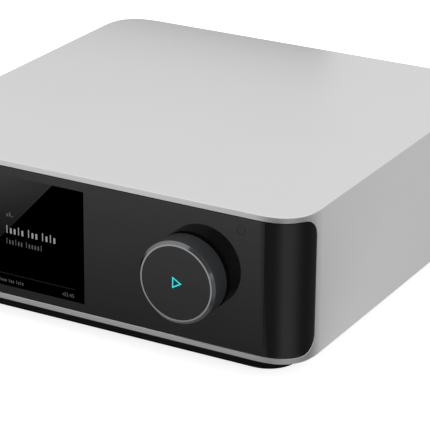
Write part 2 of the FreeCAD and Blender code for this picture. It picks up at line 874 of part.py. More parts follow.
def make_ethernet():
    x = ethernet_x
    body = bar(x, ethernet_width, socket_mouth - ethernet_depth, socket_mouth,
               board_top, board_top + ethernet_height)
    floor = board_top + ethernet_cavity_lift
    inner = socket_mouth - ethernet_cavity_depth
    cavity = bar(x, ethernet_cavity_width, inner, socket_mouth, floor, floor + ethernet_cavity_height)
    latch = bar(x, ethernet_latch_width, inner, socket_mouth, floor - ethernet_latch_height, floor)
    return less(body, [cavity, latch])


def make_usb():
    x = usb_x
    low = board_top + usb_lift
    high = low + usb_height
    half = usb_width / 2
    back = socket_mouth - usb_depth
    body = block(x - half, x + half, back, socket_mouth, low, high)
    cavity = block(x - half + thin_metal, x + half - thin_metal, back + wall, socket_mouth,
                   low + thin_metal, high - thin_metal)
    foot_end = bay_back_y - slip_gap
    feet = [bar(foot_x, 2 * thin_metal, back, foot_end, board_top, low + thin_metal)
            for foot_x in (x - half + thin_metal, x + half - thin_metal)]
    tongue = block(x - half + 4 * thin_metal, x + half - 4 * thin_metal, back, socket_mouth - wall,
                   high - usb_tongue_drop - usb_tongue, high - usb_tongue_drop)
    return joined([less(body, [cavity])] + feet + [tongue])


def make_hdmi():
    x = hdmi_x
    low = board_top
    back = socket_mouth - hdmi_depth

    def section(inset, y0, y1):
        half = hdmi_width / 2 - inset
        top = low + hdmi_height - inset
        bottom = low + inset
        points = [vector(x - half, y0, top), vector(x + half, y0, top),
                  vector(x + half, y0, bottom + hdmi_chamfer), vector(x + half - hdmi_chamfer, y0, bottom),
                  vector(x - half + hdmi_chamfer, y0, bottom), vector(x - half, y0, bottom + hdmi_chamfer)]
        return Part.Face(Part.makePolygon(points + points[:1])).extrude(vector(0, y1 - y0, 0))

    body = section(0, back, socket_mouth).cut(section(thin_metal, back + wall, socket_mouth))
    tongue_half = hdmi_width / 2 - 4 * thin_metal
    tongue = block(x - tongue_half, x + tongue_half, back, socket_mouth - wall,
                   low + hdmi_height / 2 - thin_metal, low + hdmi_height / 2 + thin_metal)
    return joined([body, tongue])


save("ethernet_socket", make_ethernet())
save("usb_socket", make_usb())
save("hdmi_socket", make_hdmi())

# Optical socket with a flap that swings inwards
flap_pin_y = socket_mouth - flap_pin_back
optical_ceiling = board_top + optical_floor + optical_cavity + flap_recess
flap_pin_z = optical_ceiling - flap_pin_drop


def rod_x(x0, x1, y, z, radius):
    return Part.makeCylinder(radius, x1 - x0, vector(x0, y, z), axis_x)


def make_optical_socket():
    body = bar(optical_x, optical_width, socket_mouth - optical_depth, socket_mouth,
               board_top, board_top + optical_height)
    cavity_half = optical_cavity / 2
    cavity = block(optical_x - cavity_half, optical_x + cavity_half, socket_mouth - optical_cavity_depth,
                   socket_mouth, board_top + optical_floor, optical_ceiling)
    reach = cavity_half + flap_pin_reach + slip_gap
    pin_room = rod_x(optical_x - reach, optical_x + reach, flap_pin_y, flap_pin_z,
                     flap_pin_radius + running_gap)
    return less(body, [cavity, pin_room])


def make_optical_shutter():
    half = optical_cavity / 2 - flap_side_gap
    plate = block(optical_x - half, optical_x + half, flap_pin_y - flap_thickness / 2,
                  flap_pin_y + flap_thickness / 2, board_top + optical_floor + flap_side_gap, flap_pin_z)
    reach = optical_cavity / 2 + flap_pin_reach
    pin = rod_x(optical_x - reach, optical_x + reach, flap_pin_y, flap_pin_z, flap_pin_radius)
    return joined([plate, pin])


save("optical_socket", make_optical_socket())
save("optical_shutter", make_optical_shutter())

# Phono sockets: nickel barrel and centre contact, coloured collar and core
barrel_end = bay_face_y + phono_length
ring_end = bay_face_y + phono_ring_length
contacts = []
for x in phono_places:
    contacts.append(joined([pipe_y(x, upper_row, phono_root_radius, phono_bore, jack_face_y, ring_end),
                            pipe_y(x, upper_row, phono_radius, phono_bore, ring_end, barrel_end)]))
    contacts.append(pipe_y(x, upper_row, phono_pin_outer, phono_pin_bore, jack_face_y,
                           barrel_end - phono_core_short))
save("rca_contacts", *contacts)
for name, x in zip(["rca_insulator_red", "rca_insulator_white", "rca_insulator_black"], phono_places):
    collar = pipe_y(x, upper_row, phono_ring_radius, phono_root_radius, bay_face_y, ring_end)
    core = pipe_y(x, upper_row, phono_bore, phono_pin_outer, jack_face_y, barrel_end - phono_core_short)
    save(name, collar, core)

# Trigger jack, through the upright board
trigger_end = bay_face_y + trigger_proud
trigger_back = trigger_end - trigger_depth
save("trigger_jack", rod_y(trigger_x, upper_row, trigger_radius, trigger_back, trigger_end).cut(
    rod_y(trigger_x, upper_row, trigger_bore, trigger_back + trigger_blind, trigger_end)))

# Pairing button, over its switch on the upright board
button_switch_front = jack_face_y + switch_height
button_back = button_switch_front + button_travel + facing_gap
save("pairing_button", joined([
    rod_y(button_x, upper_row, button_radius, button_back, bay_face_y + button_proud),
    rod_y(button_x, upper_row, button_flange, button_back, button_back + button_flange_length),
]))


def push_switch(x, z, y0, y1, well_from, well_to):
    half = switch_side / 2
    body = block(x - half, x + half, y0, y1, z - half, z + half)
    return body.cut(rod_y(x, z, plunger_radius + slip_gap, well_from, well_to))


save("push_switches",
     push_switch(knob_x, knob_z, switch_front, knob_board_front,
                 switch_front, knob_board_front - switch_floor),
     push_switch(button_x, upper_row, jack_face_y, button_switch_front,
                 button_switch_front - switch_floor, button_switch_front))

# Speaker posts: fixed stud and collar, clamp washer that slides, cap that screws along the stud
cap_front = bay_face_y + collar_length + facing_gap + clamp_length + facing_gap
cap_rear = cap_front + cap_length
stud_end = cap_rear - cap_end - cap_end_gap


def make_stud(x):
    stud = joined([
        rod_y(x, upper_row, stud_radius, jack_back_y - stud_tail, stud_end),
        rod_y(x, upper_row, stud_shoulder, bay_back_y - stud_shoulder_length, bay_back_y),
    ])
    return stud.cut(rod_y(x, upper_row, stud_bore, stud_end - stud_bore_depth, stud_end))


def make_collar(x):
    return pipe_y(x, upper_row, collar_radius, stud_radius + slip_gap,
                  bay_face_y, bay_face_y + collar_length)


def make_cap(x):
    cap = rod_y(x, upper_row, cap_radius, cap_front, cap_rear)
    thread = rod_y(x, upper_row, stud_radius + running_gap, cap_front, cap_rear - cap_end)
    mouth = rod_y(x, upper_row, cap_end_hole, cap_rear - cap_end, cap_rear)
    flutes = []
    for number in range(flute_count):
        angle = 2 * math.pi * (number + 0.5) / flute_count
        reach = cap_radius + flute_radius - flute_depth
        flutes.append(rod_y(x + reach * math.cos(angle), upper_row + reach * math.sin(angle), flute_radius,
                            cap_front, cap_rear))
    return less(cap, [thread, mouth] + flutes)


save("post_studs", *[make_stud(x) for x in post_places])
save("post_collars_red", *[make_collar(x) for x in post_places[::2]])
save("post_collars_black", *[make_collar(x) for x in post_places[1::2]])
clamp_front = bay_face_y + collar_length + facing_gap
for number, x in enumerate(post_places, 1):
    save("post_clamp_%d" % number, pipe_y(x, upper_row, clamp_radius, stud_radius + running_gap,
                                          clamp_front, clamp_front + clamp_length))
    save("post_cap_%d" % number, make_cap(x))

# Mains inlet with two round pins in a double-round recess
inlet_z = board_top + inlet_height / 2


def make_inlet():
    body = bar(inlet_x, inlet_width, socket_mouth - inlet_depth, socket_mouth,
               board_top, board_top + inlet_height)
    radius = inlet_cavity_height / 2
    shift = inlet_cavity_width / 2 - radius
    inner = socket_mouth - inlet_cavity_depth
    recess = joined([
        rod_y(inlet_x - shift, inlet_z, radius, inner, socket_mouth),
        rod_y(inlet_x + shift, inlet_z, radius, inner, socket_mouth),
        block(inlet_x - shift, inlet_x + shift, inner, socket_mouth, inlet_z - radius, inlet_z + radius),
    ])
    seats = [rod_y(inlet_x + side * inlet_pin_spread, inlet_z, inlet_pin_radius,
                   inner - inlet_pin_tail, inner) for side in (-1, 1)]
    return less(body, [recess] + seats)


save("mains_inlet", make_inlet())
inlet_inner = socket_mouth - inlet_cavity_depth
save("mains_pins", *[rod_y(inlet_x + side * inlet_pin_spread, inlet_z, inlet_pin_radius,
                           inlet_inner - inlet_pin_tail, inlet_inner + inlet_pin_length)
                     for side in (-1, 1)])

# Upright board that carries posts and jacks, plugged into the main board by its tongue
header_right = optical_x - optical_width / 2 - header_clearance
header_x = (main_left + header_right) / 2
tongue_half = (header_right - main_left) / 2 - tongue_margin
header_front = jack_back_y - (header_depth - board_thickness) / 2


def make_jack_board():
    low = board_top + inlet_height + jack_board_lift
    half = bay_half - jack_board_side_gap
    plate = block(-half, half, jack_back_y, jack_face_y, low, upper_row + jack_board_above)
    tongue = block(header_x - tongue_half, header_x + tongue_half, jack_back_y, jack_face_y,
                   board_top + header_floor, low)
    holes = [rod_y(trigger_x, upper_row, trigger_radius + slip_gap, jack_back_y, jack_face_y)]
    holes += [rod_y(x, upper_row, stud_radius + slip_gap, jack_back_y, jack_face_y) for x in post_places]
    return less(joined([plate, tongue]), holes)


save("jack_board", make_jack_board())
header = block(main_left, header_right, header_front, header_front + header_depth,
               board_top, board_top + header_height)
header = header.cut(block(header_x - tongue_half - slip_gap, header_x + tongue_half + slip_gap,
                          jack_back_y - slip_gap, jack_face_y + slip_gap, board_top + header_floor,
                          board_top + header_height))
board_middle = (board_front + board_rear) / 2
link = block(board_split - link_width / 2, board_split + link_width / 2, board_middle - link_length / 2,
             board_middle + link_length / 2, board_top, board_top + link_height)
save("board_headers", header, link)

# Main board, and what stands on it
save("main_board", less(
    block(main_left, board_outer, board_front, board_rear, board_bottom, board_top),
    [rod_z(x, y, board_screw_radius + running_gap, board_bottom, board_top) for x, y in main_holes]))

main_middle = (main_left + board_outer) / 2
amplifier_y = board_middle - can_radius
processor_y = board_middle + sink_length / 2 + processor_side
save("main_chips",
     bar(main_middle, chip_side, amplifier_y - chip_side / 2, amplifier_y + chip_side / 2,
         board_top, board_top + chip_height),
     bar(main_middle, processor_side, processor_y - processor_side / 2, processor_y + processor_side / 2,
         board_top, board_top + chip_height),
     bar(main_middle + processor_side + converter_side / 2, converter_side, processor_y - converter_side / 2,
         processor_y + converter_side / 2, board_top, board_top + chip_height))
sink_low = board_top + chip_height
can_x = main_left + can_radius + link_width / 2
sink_width = 2 * (main_middle - can_x - can_radius - sink_clearance)


def make_heat_sink():
    left = main_middle - sink_width / 2
    base = block(left, left + sink_width, amplifier_y - sink_length / 2, amplifier_y + sink_length / 2,
                 sink_low, sink_low + sink_base)
    step = (sink_width - fin_thickness) / (fin_count - 1)
    fins = [block(left + step * number, left + step * number + fin_thickness, amplifier_y - sink_length / 2,
                  amplifier_y + sink_length / 2, sink_low + sink_base, sink_low + sink_height)
            for number in range(fin_count)]
    return joined([base] + fins)


save("heat_sink", make_heat_sink())
coil_pitch = sink_width / coil_count
coil_side = coil_pitch - coil_gap
coil_y = amplifier_y - sink_length / 2 - coil_side
coil_first = main_middle - coil_pitch * (coil_count - 1) / 2
save("filter_coils", *[block(coil_first + coil_pitch * number - coil_side / 2,
                             coil_first + coil_pitch * number + coil_side / 2, coil_y - coil_side / 2,
                             coil_y + coil_side / 2, board_top, board_top + coil_height)
                       for number in range(coil_count)])
can_first = board_middle + link_length / 2 + can_radius
can_rows = ([can_first + can_pitch * number for number in range(2)]
            + [2 * board_middle - can_first - can_pitch * number for number in range(2)])
small_cans = [rod_z(can_x, y, can_radius, board_top, board_top + can_height) for y in can_rows]

# Power board, and what stands on it
save("power_board", less(
    block(-board_outer, power_right, board_front, board_rear, board_bottom, board_top),
    [rod_z(x, y, board_screw_radius + running_gap, board_bottom, board_top) for x, y in power_holes]))

power_middle = (power_right - board_outer) / 2
half_side = transformer_side / 2
transformer_x = board_split - link_width / 2 - transformer_clearance - half_side
transformer_y = board_middle - half_side / 2
transformer_low = transformer_y - half_side / 2
transformer_high = transformer_y + half_side / 2
transformer_top = board_top + transformer_height
yoke_block = (transformer_height - winding_height) / 2
core = joined([
    bar(transformer_x, transformer_side, transformer_low, transformer_high,
        board_top, board_top + yoke_block),
    bar(transformer_x, transformer_side, transformer_low, transformer_high,
        transformer_top - yoke_block, transformer_top),
    rod_z(transformer_x, transformer_y, half_side / 2, board_top, transformer_top),
])
winding = rod_z(transformer_x, transformer_y, winding_radius, board_top + yoke_block,
                board_top + yoke_block + winding_height)
winding = winding.cut(rod_z(transformer_x, transformer_y, half_side / 2, board_top, transformer_top))
save("transformer", core, winding)

bulk_spread = (power_right + board_outer) / 4
bulk_radius = bulk_spread - bulk_gap
bulk_y = board_hole_front + board_hole_inset + bulk_radius
large_cans = [rod_z(power_middle + side * bulk_spread, bulk_y, bulk_radius,
                    board_top, board_top + bulk_height) for side in (-1, 1)]
save("capacitors", *(large_cans + small_cans))
filter_y = socket_mouth - inlet_depth - fuse_clearance - fuse_length - film_length
save("mains_filter",
     block(power_middle - choke_width - slip_gap, power_middle - slip_gap, filter_y - choke_length / 2,
           filter_y + choke_length / 2, board_top, board_top + choke_height),
     block(power_middle + slip_gap, power_middle + film_width + slip_gap, filter_y - film_length / 2,
           filter_y + film_length / 2, board_top, board_top + film_height),
     rod_y(power_middle + film_width / 2, board_top + fuse_radius, fuse_radius, filter_y + film_length,
           filter_y + film_length + fuse_length))


# Base pan: floor, walls, screw bosses and board bosses
def make_plinth():
    half_x = half_width - plinth_inset
    half_y = rear_y - plinth_inset
    outside = rounded_plate(half_x, half_y, plinth_corner, pan_bottom, shell_bottom)
    inside = rounded_plate(half_x - plinth_wall, half_y - plinth_wall, plinth_corner - plinth_wall,
                           pan_floor_top, shell_bottom)
    pan = outside.cut(inside)
    bosses = [rod_z(x, y, boss_radius, pan_floor_top, shell_bottom) for x, y in base_places]
    bosses += [rod_z(x, y, boss_radius, pan_floor_top, board_bottom) for x, y in main_holes + power_holes]
    holes = [case_screw_hole(x, y, pan_bottom, axis_z, base_screw_length) for x, y in base_places]
    holes += [rod_z(x, y, board_screw_radius + running_gap, board_bottom - board_screw_grip, board_bottom)
              for x, y in main_holes + power_holes]
    vent_low = (pan_floor_top + shell_bottom - vent_height) / 2
    for number in range(vent_count):
        x = vent_pitch * (number - (vent_count - 1) / 2)
        holes.append(bar(x, vent_width, half_y - 2 * plinth_wall, half_y + plinth_wall,
                         vent_low, vent_low + vent_height))
    return less(joined([pan] + bosses), holes)


save("base_plinth", make_plinth())
save("base_pad", rounded_plate(half_width - plinth_inset - pad_inset, rear_y - plinth_inset - pad_inset,
                               plinth_corner - pad_inset, 0, pad_thickness))

# Aerial boards, standing in the fascia's ends beside the screw lugs
aerial_x = fascia_screw_x + lug_half_width + aerial_past_lug
save("antennas", *[block(min(side * aerial_x, side * (aerial_x + aerial_thickness)),
                         max(side * aerial_x, side * (aerial_x + aerial_thickness)),
                         plate_back, plate_back + aerial_depth, window_middle - aerial_height / 2,
                         window_middle + aerial_height / 2) for side in (-1, 1)])

# Screws
save("case_screws",
     *[case_screw(x, y, pan_bottom, axis_z, base_screw_length) for x, y in base_places],
     *[case_screw(x, fascia_screw_y, level, axis_y, case_screw_length) for x, level in fascia_places],
     *[case_screw(x, bay_face_y, level, axis_y * -1, case_screw_length) for x, level in bay_places])
save("board_screws",
     *[board_screw(x, y, board_top, axis_z * -1, board_thickness + board_screw_grip)
       for x, y in main_holes + power_holes],
     *[board_screw(x, bracket_back, z, axis_y * -1, knob_bracket_plate + housing_depth + fascia_plate)
       for x, z in housing_screws],
     *[board_screw(knob_x + side * standoff_spread, knob_board_back, knob_z, axis_y * -1,
                   board_thickness + board_screw_grip) for side in (-1, 1)],
     *[board_screw(bracket_screw_x, plate_back + bracket_thickness, z, axis_y * -1,
                   bracket_thickness + fascia_plate) for z in bracket_screws])
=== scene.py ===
import math
import bpy
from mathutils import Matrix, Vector


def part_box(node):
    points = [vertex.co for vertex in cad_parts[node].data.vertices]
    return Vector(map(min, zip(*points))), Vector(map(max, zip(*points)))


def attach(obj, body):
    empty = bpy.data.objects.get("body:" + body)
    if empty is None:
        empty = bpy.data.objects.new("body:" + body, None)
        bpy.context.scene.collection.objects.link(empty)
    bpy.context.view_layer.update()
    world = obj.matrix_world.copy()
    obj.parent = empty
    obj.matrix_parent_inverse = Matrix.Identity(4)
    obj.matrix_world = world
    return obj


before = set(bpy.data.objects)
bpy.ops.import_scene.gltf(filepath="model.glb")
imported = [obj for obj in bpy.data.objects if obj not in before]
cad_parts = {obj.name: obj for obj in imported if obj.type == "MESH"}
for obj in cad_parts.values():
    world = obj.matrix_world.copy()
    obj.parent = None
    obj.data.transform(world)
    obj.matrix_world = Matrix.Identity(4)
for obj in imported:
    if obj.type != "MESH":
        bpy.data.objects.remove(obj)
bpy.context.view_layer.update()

mm = 0.001
hair = 0.1 * mm                 # where a painted edge goes from one look to the next
cloudSpan = (0.35, 0.65)        # what a soft noise's patches run between
grainSpan = (0.30, 0.70)        # and a fine one's
print("frame loaded,", len(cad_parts), "nodes")


# Camera, at the photograph's angle
cameraValues = {
    "place": (0.469254, -0.834289, 0.406544),
    "turn": 30.5307,                # degrees round the object, from its front to its right
    "tilt": 21.1999,                # degrees down
    "lens": 193.437,
    "sensor": 36.0,
    "shiftX": 0.13525,
    "shiftY": -0.06668,
}


def makeCamera(values):
    lens = bpy.data.cameras.new("camera")
    lens.sensor_fit = "HORIZONTAL"
    lens.sensor_width = values["sensor"]
    lens.lens = values["lens"]
    lens.shift_x = values["shiftX"]
    lens.shift_y = values["shiftY"]
    lens.clip_start = 0.05
    lens.clip_end = 50.0
    camera = bpy.data.objects.new("camera", lens)
    camera.location = values["place"]
    camera.rotation_euler = (math.radians(90 - values["tilt"]), 0, math.radians(values["turn"]))
    bpy.context.scene.collection.objects.link(camera)
    bpy.context.scene.camera = camera


makeCamera(cameraValues)
print("camera placed")


# Node trees
def addNode(tree, kind, **settings):
    node = tree.nodes.new(kind)
    for name, value in settings.items():
        setattr(node, name, value)
    return node


def fillSocket(tree, socket, value):
    if isinstance(value, bpy.types.NodeSocket):
        tree.links.new(value, socket)
    elif isinstance(value, (tuple, list)) and len(value) == 3 and socket.type == "RGBA":
        socket.default_value = (*value, 1.0)
    else:
        socket.default_value = value


def mathNode(tree, operation, first, second=None, third=None):
    node = addNode(tree, "ShaderNodeMath", operation=operation)
    for socket, value in zip(node.inputs, (first, second, third)):
        if value is not None:
            fillSocket(tree, socket, value)
    return node.outputs[0]


def product(tree, first, second):
    return mathNode(tree, "MULTIPLY", first, second)


def rangeNode(tree, value, fromLow, fromHigh, toLow=0.0, toHigh=1.0, soft=False):
    node = addNode(tree, "ShaderNodeMapRange")
    node.interpolation_type = "SMOOTHSTEP" if soft else "LINEAR"
    for name, given in (("Value", value), ("From Min", fromLow), ("From Max", fromHigh),
                        ("To Min", toLow), ("To Max", toHigh)):
        fillSocket(tree, node.inputs[name], given)
    return node.outputs["Result"]


def mixColours(tree, share, first, second):
    node = addNode(tree, "ShaderNodeMix", data_type="RGBA")
    for index, value in ((0, share), (6, first), (7, second)):
        fillSocket(tree, node.inputs[index], value)
    return node.outputs[2]


def objectPlace(tree, centre=(0, 0, 0), scale=(1, 1, 1), turn=(0, 0, 0)):
    coords = addNode(tree, "ShaderNodeTexCoord")
    mapping = addNode(tree, "ShaderNodeMapping", vector_type="TEXTURE")
    mapping.inputs["Location"].default_value = centre
    mapping.inputs["Rotation"].default_value = turn
    mapping.inputs["Scale"].default_value = scale
    tree.links.new(coords.outputs["Object"], mapping.inputs["Vector"])
    return mapping.outputs["Vector"]


def axisValues(tree, vector):
    node = addNode(tree, "ShaderNodeSeparateXYZ")
    tree.links.new(vector, node.inputs[0])
    return node.outputs


def noiseNode(tree, vector, size, detail=2.0, roughness=0.5):
    node = addNode(tree, "ShaderNodeTexNoise")
    tree.links.new(vector, node.inputs["Vector"])
    node.inputs["Scale"].default_value = 1.0 / size
    node.inputs["Detail"].default_value = detail
    node.inputs["Roughness"].default_value = roughness
    return node.outputs["Fac"]


def cellNode(tree, vector, size, unevenness=1.0):
    node = addNode(tree, "ShaderNodeTexVoronoi", feature="F1")
    tree.links.new(vector, node.inputs["Vector"])
    node.inputs["Scale"].default_value = 1.0 / size
    node.inputs["Randomness"].default_value = unevenness
    return node.outputs["Distance"]


def distanceNode(tree, first, second):
    return mathNode(tree, "SQRT", mathNode(tree, "ADD", product(tree, first, first),
                                           product(tree, second, second)))


def blendValues(tree, share, first, second):
    return mathNode(tree, "ADD", product(tree, first, mathNode(tree, "SUBTRACT", 1.0, share)),
                    product(tree, second, share))


def bandShare(tree, value, low, high, blur):        # 1 between low and high, 0 outside
    return product(tree, rangeNode(tree, value, low, low + blur),
                   rangeNode(tree, value, high, high - blur))


edgeValues = {"samples": 4, "flat": 0.97, "sharp": 0.80}    # likeness of the rounded normal to the true one


def edgeShare(tree, radius):                # 1 on sharp edges, 0 on flat faces
    bevel = addNode(tree, "ShaderNodeBevel", samples=edgeValues["samples"])
    bevel.inputs["Radius"].default_value = radius
    geometry = addNode(tree, "ShaderNodeNewGeometry")
    dot = addNode(tree, "ShaderNodeVectorMath", operation="DOT_PRODUCT")
    tree.links.new(bevel.outputs[0], dot.inputs[0])
    tree.links.new(geometry.outputs["Normal"], dot.inputs[1])
    return rangeNode(tree, dot.outputs["Value"], edgeValues["flat"], edgeValues["sharp"])


def bumpNode(tree, height, strength, distance, normal=None):
    node = addNode(tree, "ShaderNodeBump")
    node.inputs["Strength"].default_value = strength
    node.inputs["Distance"].default_value = distance
    tree.links.new(height, node.inputs["Height"])
    if normal is not None:
        tree.links.new(normal, node.inputs["Normal"])
    return node.outputs["Normal"]


def startMaterial(name):
    material = bpy.data.materials.new(name)
    material.use_nodes = True
    tree = material.node_tree
    tree.nodes.clear()
    output = addNode(tree, "ShaderNodeOutputMaterial")
    shader = addNode(tree, "ShaderNodeBsdfPrincipled")
    tree.links.new(shader.outputs[0], output.inputs["Surface"])
    return material, tree, shader


def fillShader(tree, shader, values):
    for name, value in values.items():
        fillSocket(tree, shader.inputs[name], value)


def fillPattern(tree, shader, values, colour, cloud, height, span=cloudSpan, metal=0.0):
    fillShader(tree, shader, {"Base Color": colour, "Metallic": metal,
                              "Roughness": rangeNode(tree, cloud, *span, *values["rough"]),
                              "Normal": bumpNode(tree, height, *values["bump"]),
                              "Specular IOR Level": values.get("shine", 0.5)})


# One way to build a plain finish: two close colours in soft patches, fine grain, uneven shine, worn edges
wearValues = {"span": (0.3, 0.6), "least": 0.4}             # edges wear less where patches are dark
grainDepth = 0.25                                           # share of the grain's size


def plainFinish(name, look):
    material, tree, shader = startMaterial(name)
    place = objectPlace(tree, scale=look.get("stretch", (1, 1, 1)))
    patches = noiseNode(tree, place, look["patch"], 3.0)
    grain = noiseNode(tree, place, look["grain"], 2.0, 0.6)
    colour = mixColours(tree, rangeNode(tree, patches, *cloudSpan), look["colour"], look["second"])
    uneven = mathNode(tree, "ADD", product(tree, patches, 0.5), product(tree, grain, 0.5))
    worn = product(tree, edgeShare(tree, look["edgeWidth"]),
                   rangeNode(tree, patches, *wearValues["span"], wearValues["least"], 1.0))
    colour = mixColours(tree, product(tree, worn, look["edgeShare"]), colour, look["edge"])
    fillShader(tree, shader, {"Base Color": colour, "Metallic": look.get("metal", 0.0), "IOR": 1.5,
                              "Roughness": rangeNode(tree, uneven, *cloudSpan, *look["rough"]),
                              "Normal": bumpNode(tree, grain, look["bump"], look["grain"] * grainDepth),
                              "Specular IOR Level": look.get("shine", 0.5)})
    return material


plainLooks = {
    "bodyAluminium": {
        "colour": (0.632, 0.634, 0.634), "second": (0.624, 0.626, 0.626), "patch": 0.06,
        "grain": 0.00020, "bump": 0.12, "rough": (0.405, 0.425), "metal": 1.0,
        "edge": (0.72, 0.72, 0.72), "edgeWidth": 0.0003, "edgeShare": 0.25,
    },
    "matteBlack": {
        "colour": (0.020, 0.020, 0.021), "second": (0.015, 0.015, 0.016), "patch": 0.012,
        "grain": 0.0003, "bump": 0.35, "rough": (0.45, 0.62),
        "edge": (0.05, 0.05, 0.052), "edgeWidth": 0.0003, "edgeShare": 0.5,
    },
    "socketBlack": {
        "colour": (0.030, 0.030, 0.031), "second": (0.022, 0.022, 0.023), "patch": 0.006,
        "grain": 0.0002, "bump": 0.25, "rough": (0.32, 0.48),
        "edge": (0.07, 0.07, 0.07), "edgeWidth": 0.0002, "edgeShare": 0.4,
    },
    "redMoulding": {
        "colour": (0.50, 0.012, 0.014), "second": (0.42, 0.010, 0.012), "patch": 0.006,
        "grain": 0.0003, "bump": 0.12, "rough": (0.18, 0.30),
        "edge": (0.62, 0.06, 0.05), "edgeWidth": 0.00025, "edgeShare": 0.4,
    },
    "blackMoulding": {
        "colour": (0.016, 0.016, 0.017), "second": (0.011, 0.011, 0.012), "patch": 0.006,
        "grain": 0.0003, "bump": 0.12, "rough": (0.18, 0.30),
        "edge": (0.06, 0.06, 0.06), "edgeWidth": 0.00025, "edgeShare": 0.4,
    },
    "whiteMoulding": {
        "colour": (0.78, 0.77, 0.73), "second": (0.72, 0.71, 0.66), "patch": 0.006,
        "grain": 0.0003, "bump": 0.10, "rough": (0.22, 0.34),
        "edge": (0.85, 0.84, 0.80), "edgeWidth": 0.00025, "edgeShare": 0.3,
    },
    # black rubber of the pad with painted shade: darkened further to stand for the shade under the body
    "rubberPadAndShade": {
        "colour": (0.0055, 0.0055, 0.0055), "second": (0.0042, 0.0042, 0.0042), "patch": 0.010,
        "grain": 0.0005, "bump": 0.6, "rough": (0.78, 0.92),
        "edge": (0.010, 0.010, 0.010), "edgeWidth": 0.0004, "edgeShare": 0.4, "shine": 0.15,
    },
    "nickelPlate": {
        "colour": (0.66, 0.65, 0.62), "second": (0.60, 0.59, 0.56), "patch": 0.004,
        "grain": 0.0002, "bump": 0.05, "rough": (0.12, 0.24), "metal": 1.0,
        "edge": (0.80, 0.79, 0.76), "edgeWidth": 0.0002, "edgeShare": 0.4,
    },
    "zincSheet": {
        "colour": (0.50, 0.50, 0.49), "second": (0.42, 0.43, 0.44), "patch": 0.008,
        "grain": 0.0004, "bump": 0.15, "rough": (0.28, 0.44), "metal": 1.0,
        "edge": (0.66, 0.66, 0.65), "edgeWidth": 0.0003, "edgeShare": 0.5,
    },
    "screwSteel": {
        "colour": (0.075, 0.075, 0.080), "second": (0.055, 0.055, 0.060), "patch": 0.002,
        "grain": 0.00015, "bump": 0.20, "rough": (0.30, 0.45), "metal": 1.0,
        "edge": (0.30, 0.30, 0.31), "edgeWidth": 0.00015, "edgeShare": 0.6,
    },
    "sinkAluminium": {
        "colour": (0.58, 0.58, 0.59), "second": (0.52, 0.52, 0.53), "patch": 0.02,
        "grain": 0.0003, "bump": 0.20, "rough": (0.34, 0.48), "metal": 1.0, "stretch": (1.0, 12.0, 1.0),
        "edge": (0.75, 0.75, 0.76), "edgeWidth": 0.0003, "edgeShare": 0.5,
    },
    "plungerBrown": {
        "colour": (0.15, 0.075, 0.045), "second": (0.12, 0.06, 0.036), "patch": 0.003,
        "grain": 0.0002, "bump": 0.15, "rough": (0.38, 0.52),
        "edge": (0.24, 0.14, 0.09), "edgeWidth": 0.0002, "edgeShare": 0.4,
    },
    "chipBlack": {
        "colour": (0.024, 0.024, 0.026), "second": (0.018, 0.018, 0.020), "patch": 0.003,
        "grain": 0.00012, "bump": 0.30, "rough": (0.42, 0.58),
        "edge": (0.05, 0.05, 0.052), "edgeWidth": 0.0002, "edgeShare": 0.4,
    },
    # black plastic of the plinth with painted shade: darkened far below the other blacks to stand for the
    # shade under the body
    "baseBlackAndShade": {
        "colour": (0.0030, 0.0030, 0.0031), "second": (0.0024, 0.0024, 0.0025), "patch": 0.012,
        "grain": 0.0003, "bump": 0.20, "rough": (0.50, 0.62), "shine": 0.10,
        "edge": (0.02, 0.02, 0.02), "edgeWidth": 0.0003, "edgeShare": 0.5,
    },
    "buttonGrey": {
        "colour": (0.105, 0.105, 0.107), "second": (0.090, 0.090, 0.092), "patch": 0.004,
        "grain": 0.0003, "bump": 0.15, "rough": (0.35, 0.48),
        "edge": (0.16, 0.16, 0.16), "edgeWidth": 0.0003, "edgeShare": 0.5,
    },
    "coilGrey": {
        "colour": (0.075, 0.075, 0.078), "second": (0.060, 0.060, 0.063), "patch": 0.004,
        "grain": 0.0002, "bump": 0.30, "rough": (0.45, 0.62),
        "edge": (0.12, 0.12, 0.12), "edgeWidth": 0.0003, "edgeShare": 0.5,
    },
    "giltPlate": {
        "colour": (0.72, 0.50, 0.18), "second": (0.64, 0.43, 0.14), "patch": 0.002,
        "grain": 0.0001, "bump": 0.05, "rough": (0.16, 0.26), "metal": 1.0,
        "edge": (0.82, 0.62, 0.28), "edgeWidth": 0.0001, "edgeShare": 0.4,
    },
    "printWhite": {
        "colour": (0.62, 0.62, 0.62), "second": (0.52, 0.52, 0.52), "patch": 0.002,
        "grain": 0.00015, "bump": 0.10, "rough": (0.55, 0.70),
        "edge": (0.45, 0.45, 0.45), "edgeWidth": 0.0001, "edgeShare": 0.3,
    },
}
finishes = {name: plainFinish(name, look) for name, look in plainLooks.items()}
print("plain finishes made")


# Gloss black, for the moulding, the glass and the knob's face: faint lines along the front, faint haze
lineSpan = (0.40, 0.62)         # noise values between which a line shows


def glossFinish(name, look):
    material, tree, shader = startMaterial(name)
    haze = noiseNode(tree, objectPlace(tree), look["haze"], 3.0)
    along = objectPlace(tree, scale=(look["lineLength"], 1, 1))
    lines = noiseNode(tree, along, look["lineWidth"], 2.0, 0.6)
    lineShare = product(tree, rangeNode(tree, lines, *lineSpan), look["lineShare"])
    fillShader(tree, shader, {"Base Color": mixColours(tree, lineShare, look["colour"], look["lineColour"]),
                              "Roughness": rangeNode(tree, haze, *cloudSpan, *look["rough"]), "IOR": 1.5,
                              "Normal": bumpNode(tree, lines, look["bump"], hair),
                              "Specular IOR Level": look["shine"]})
    return material


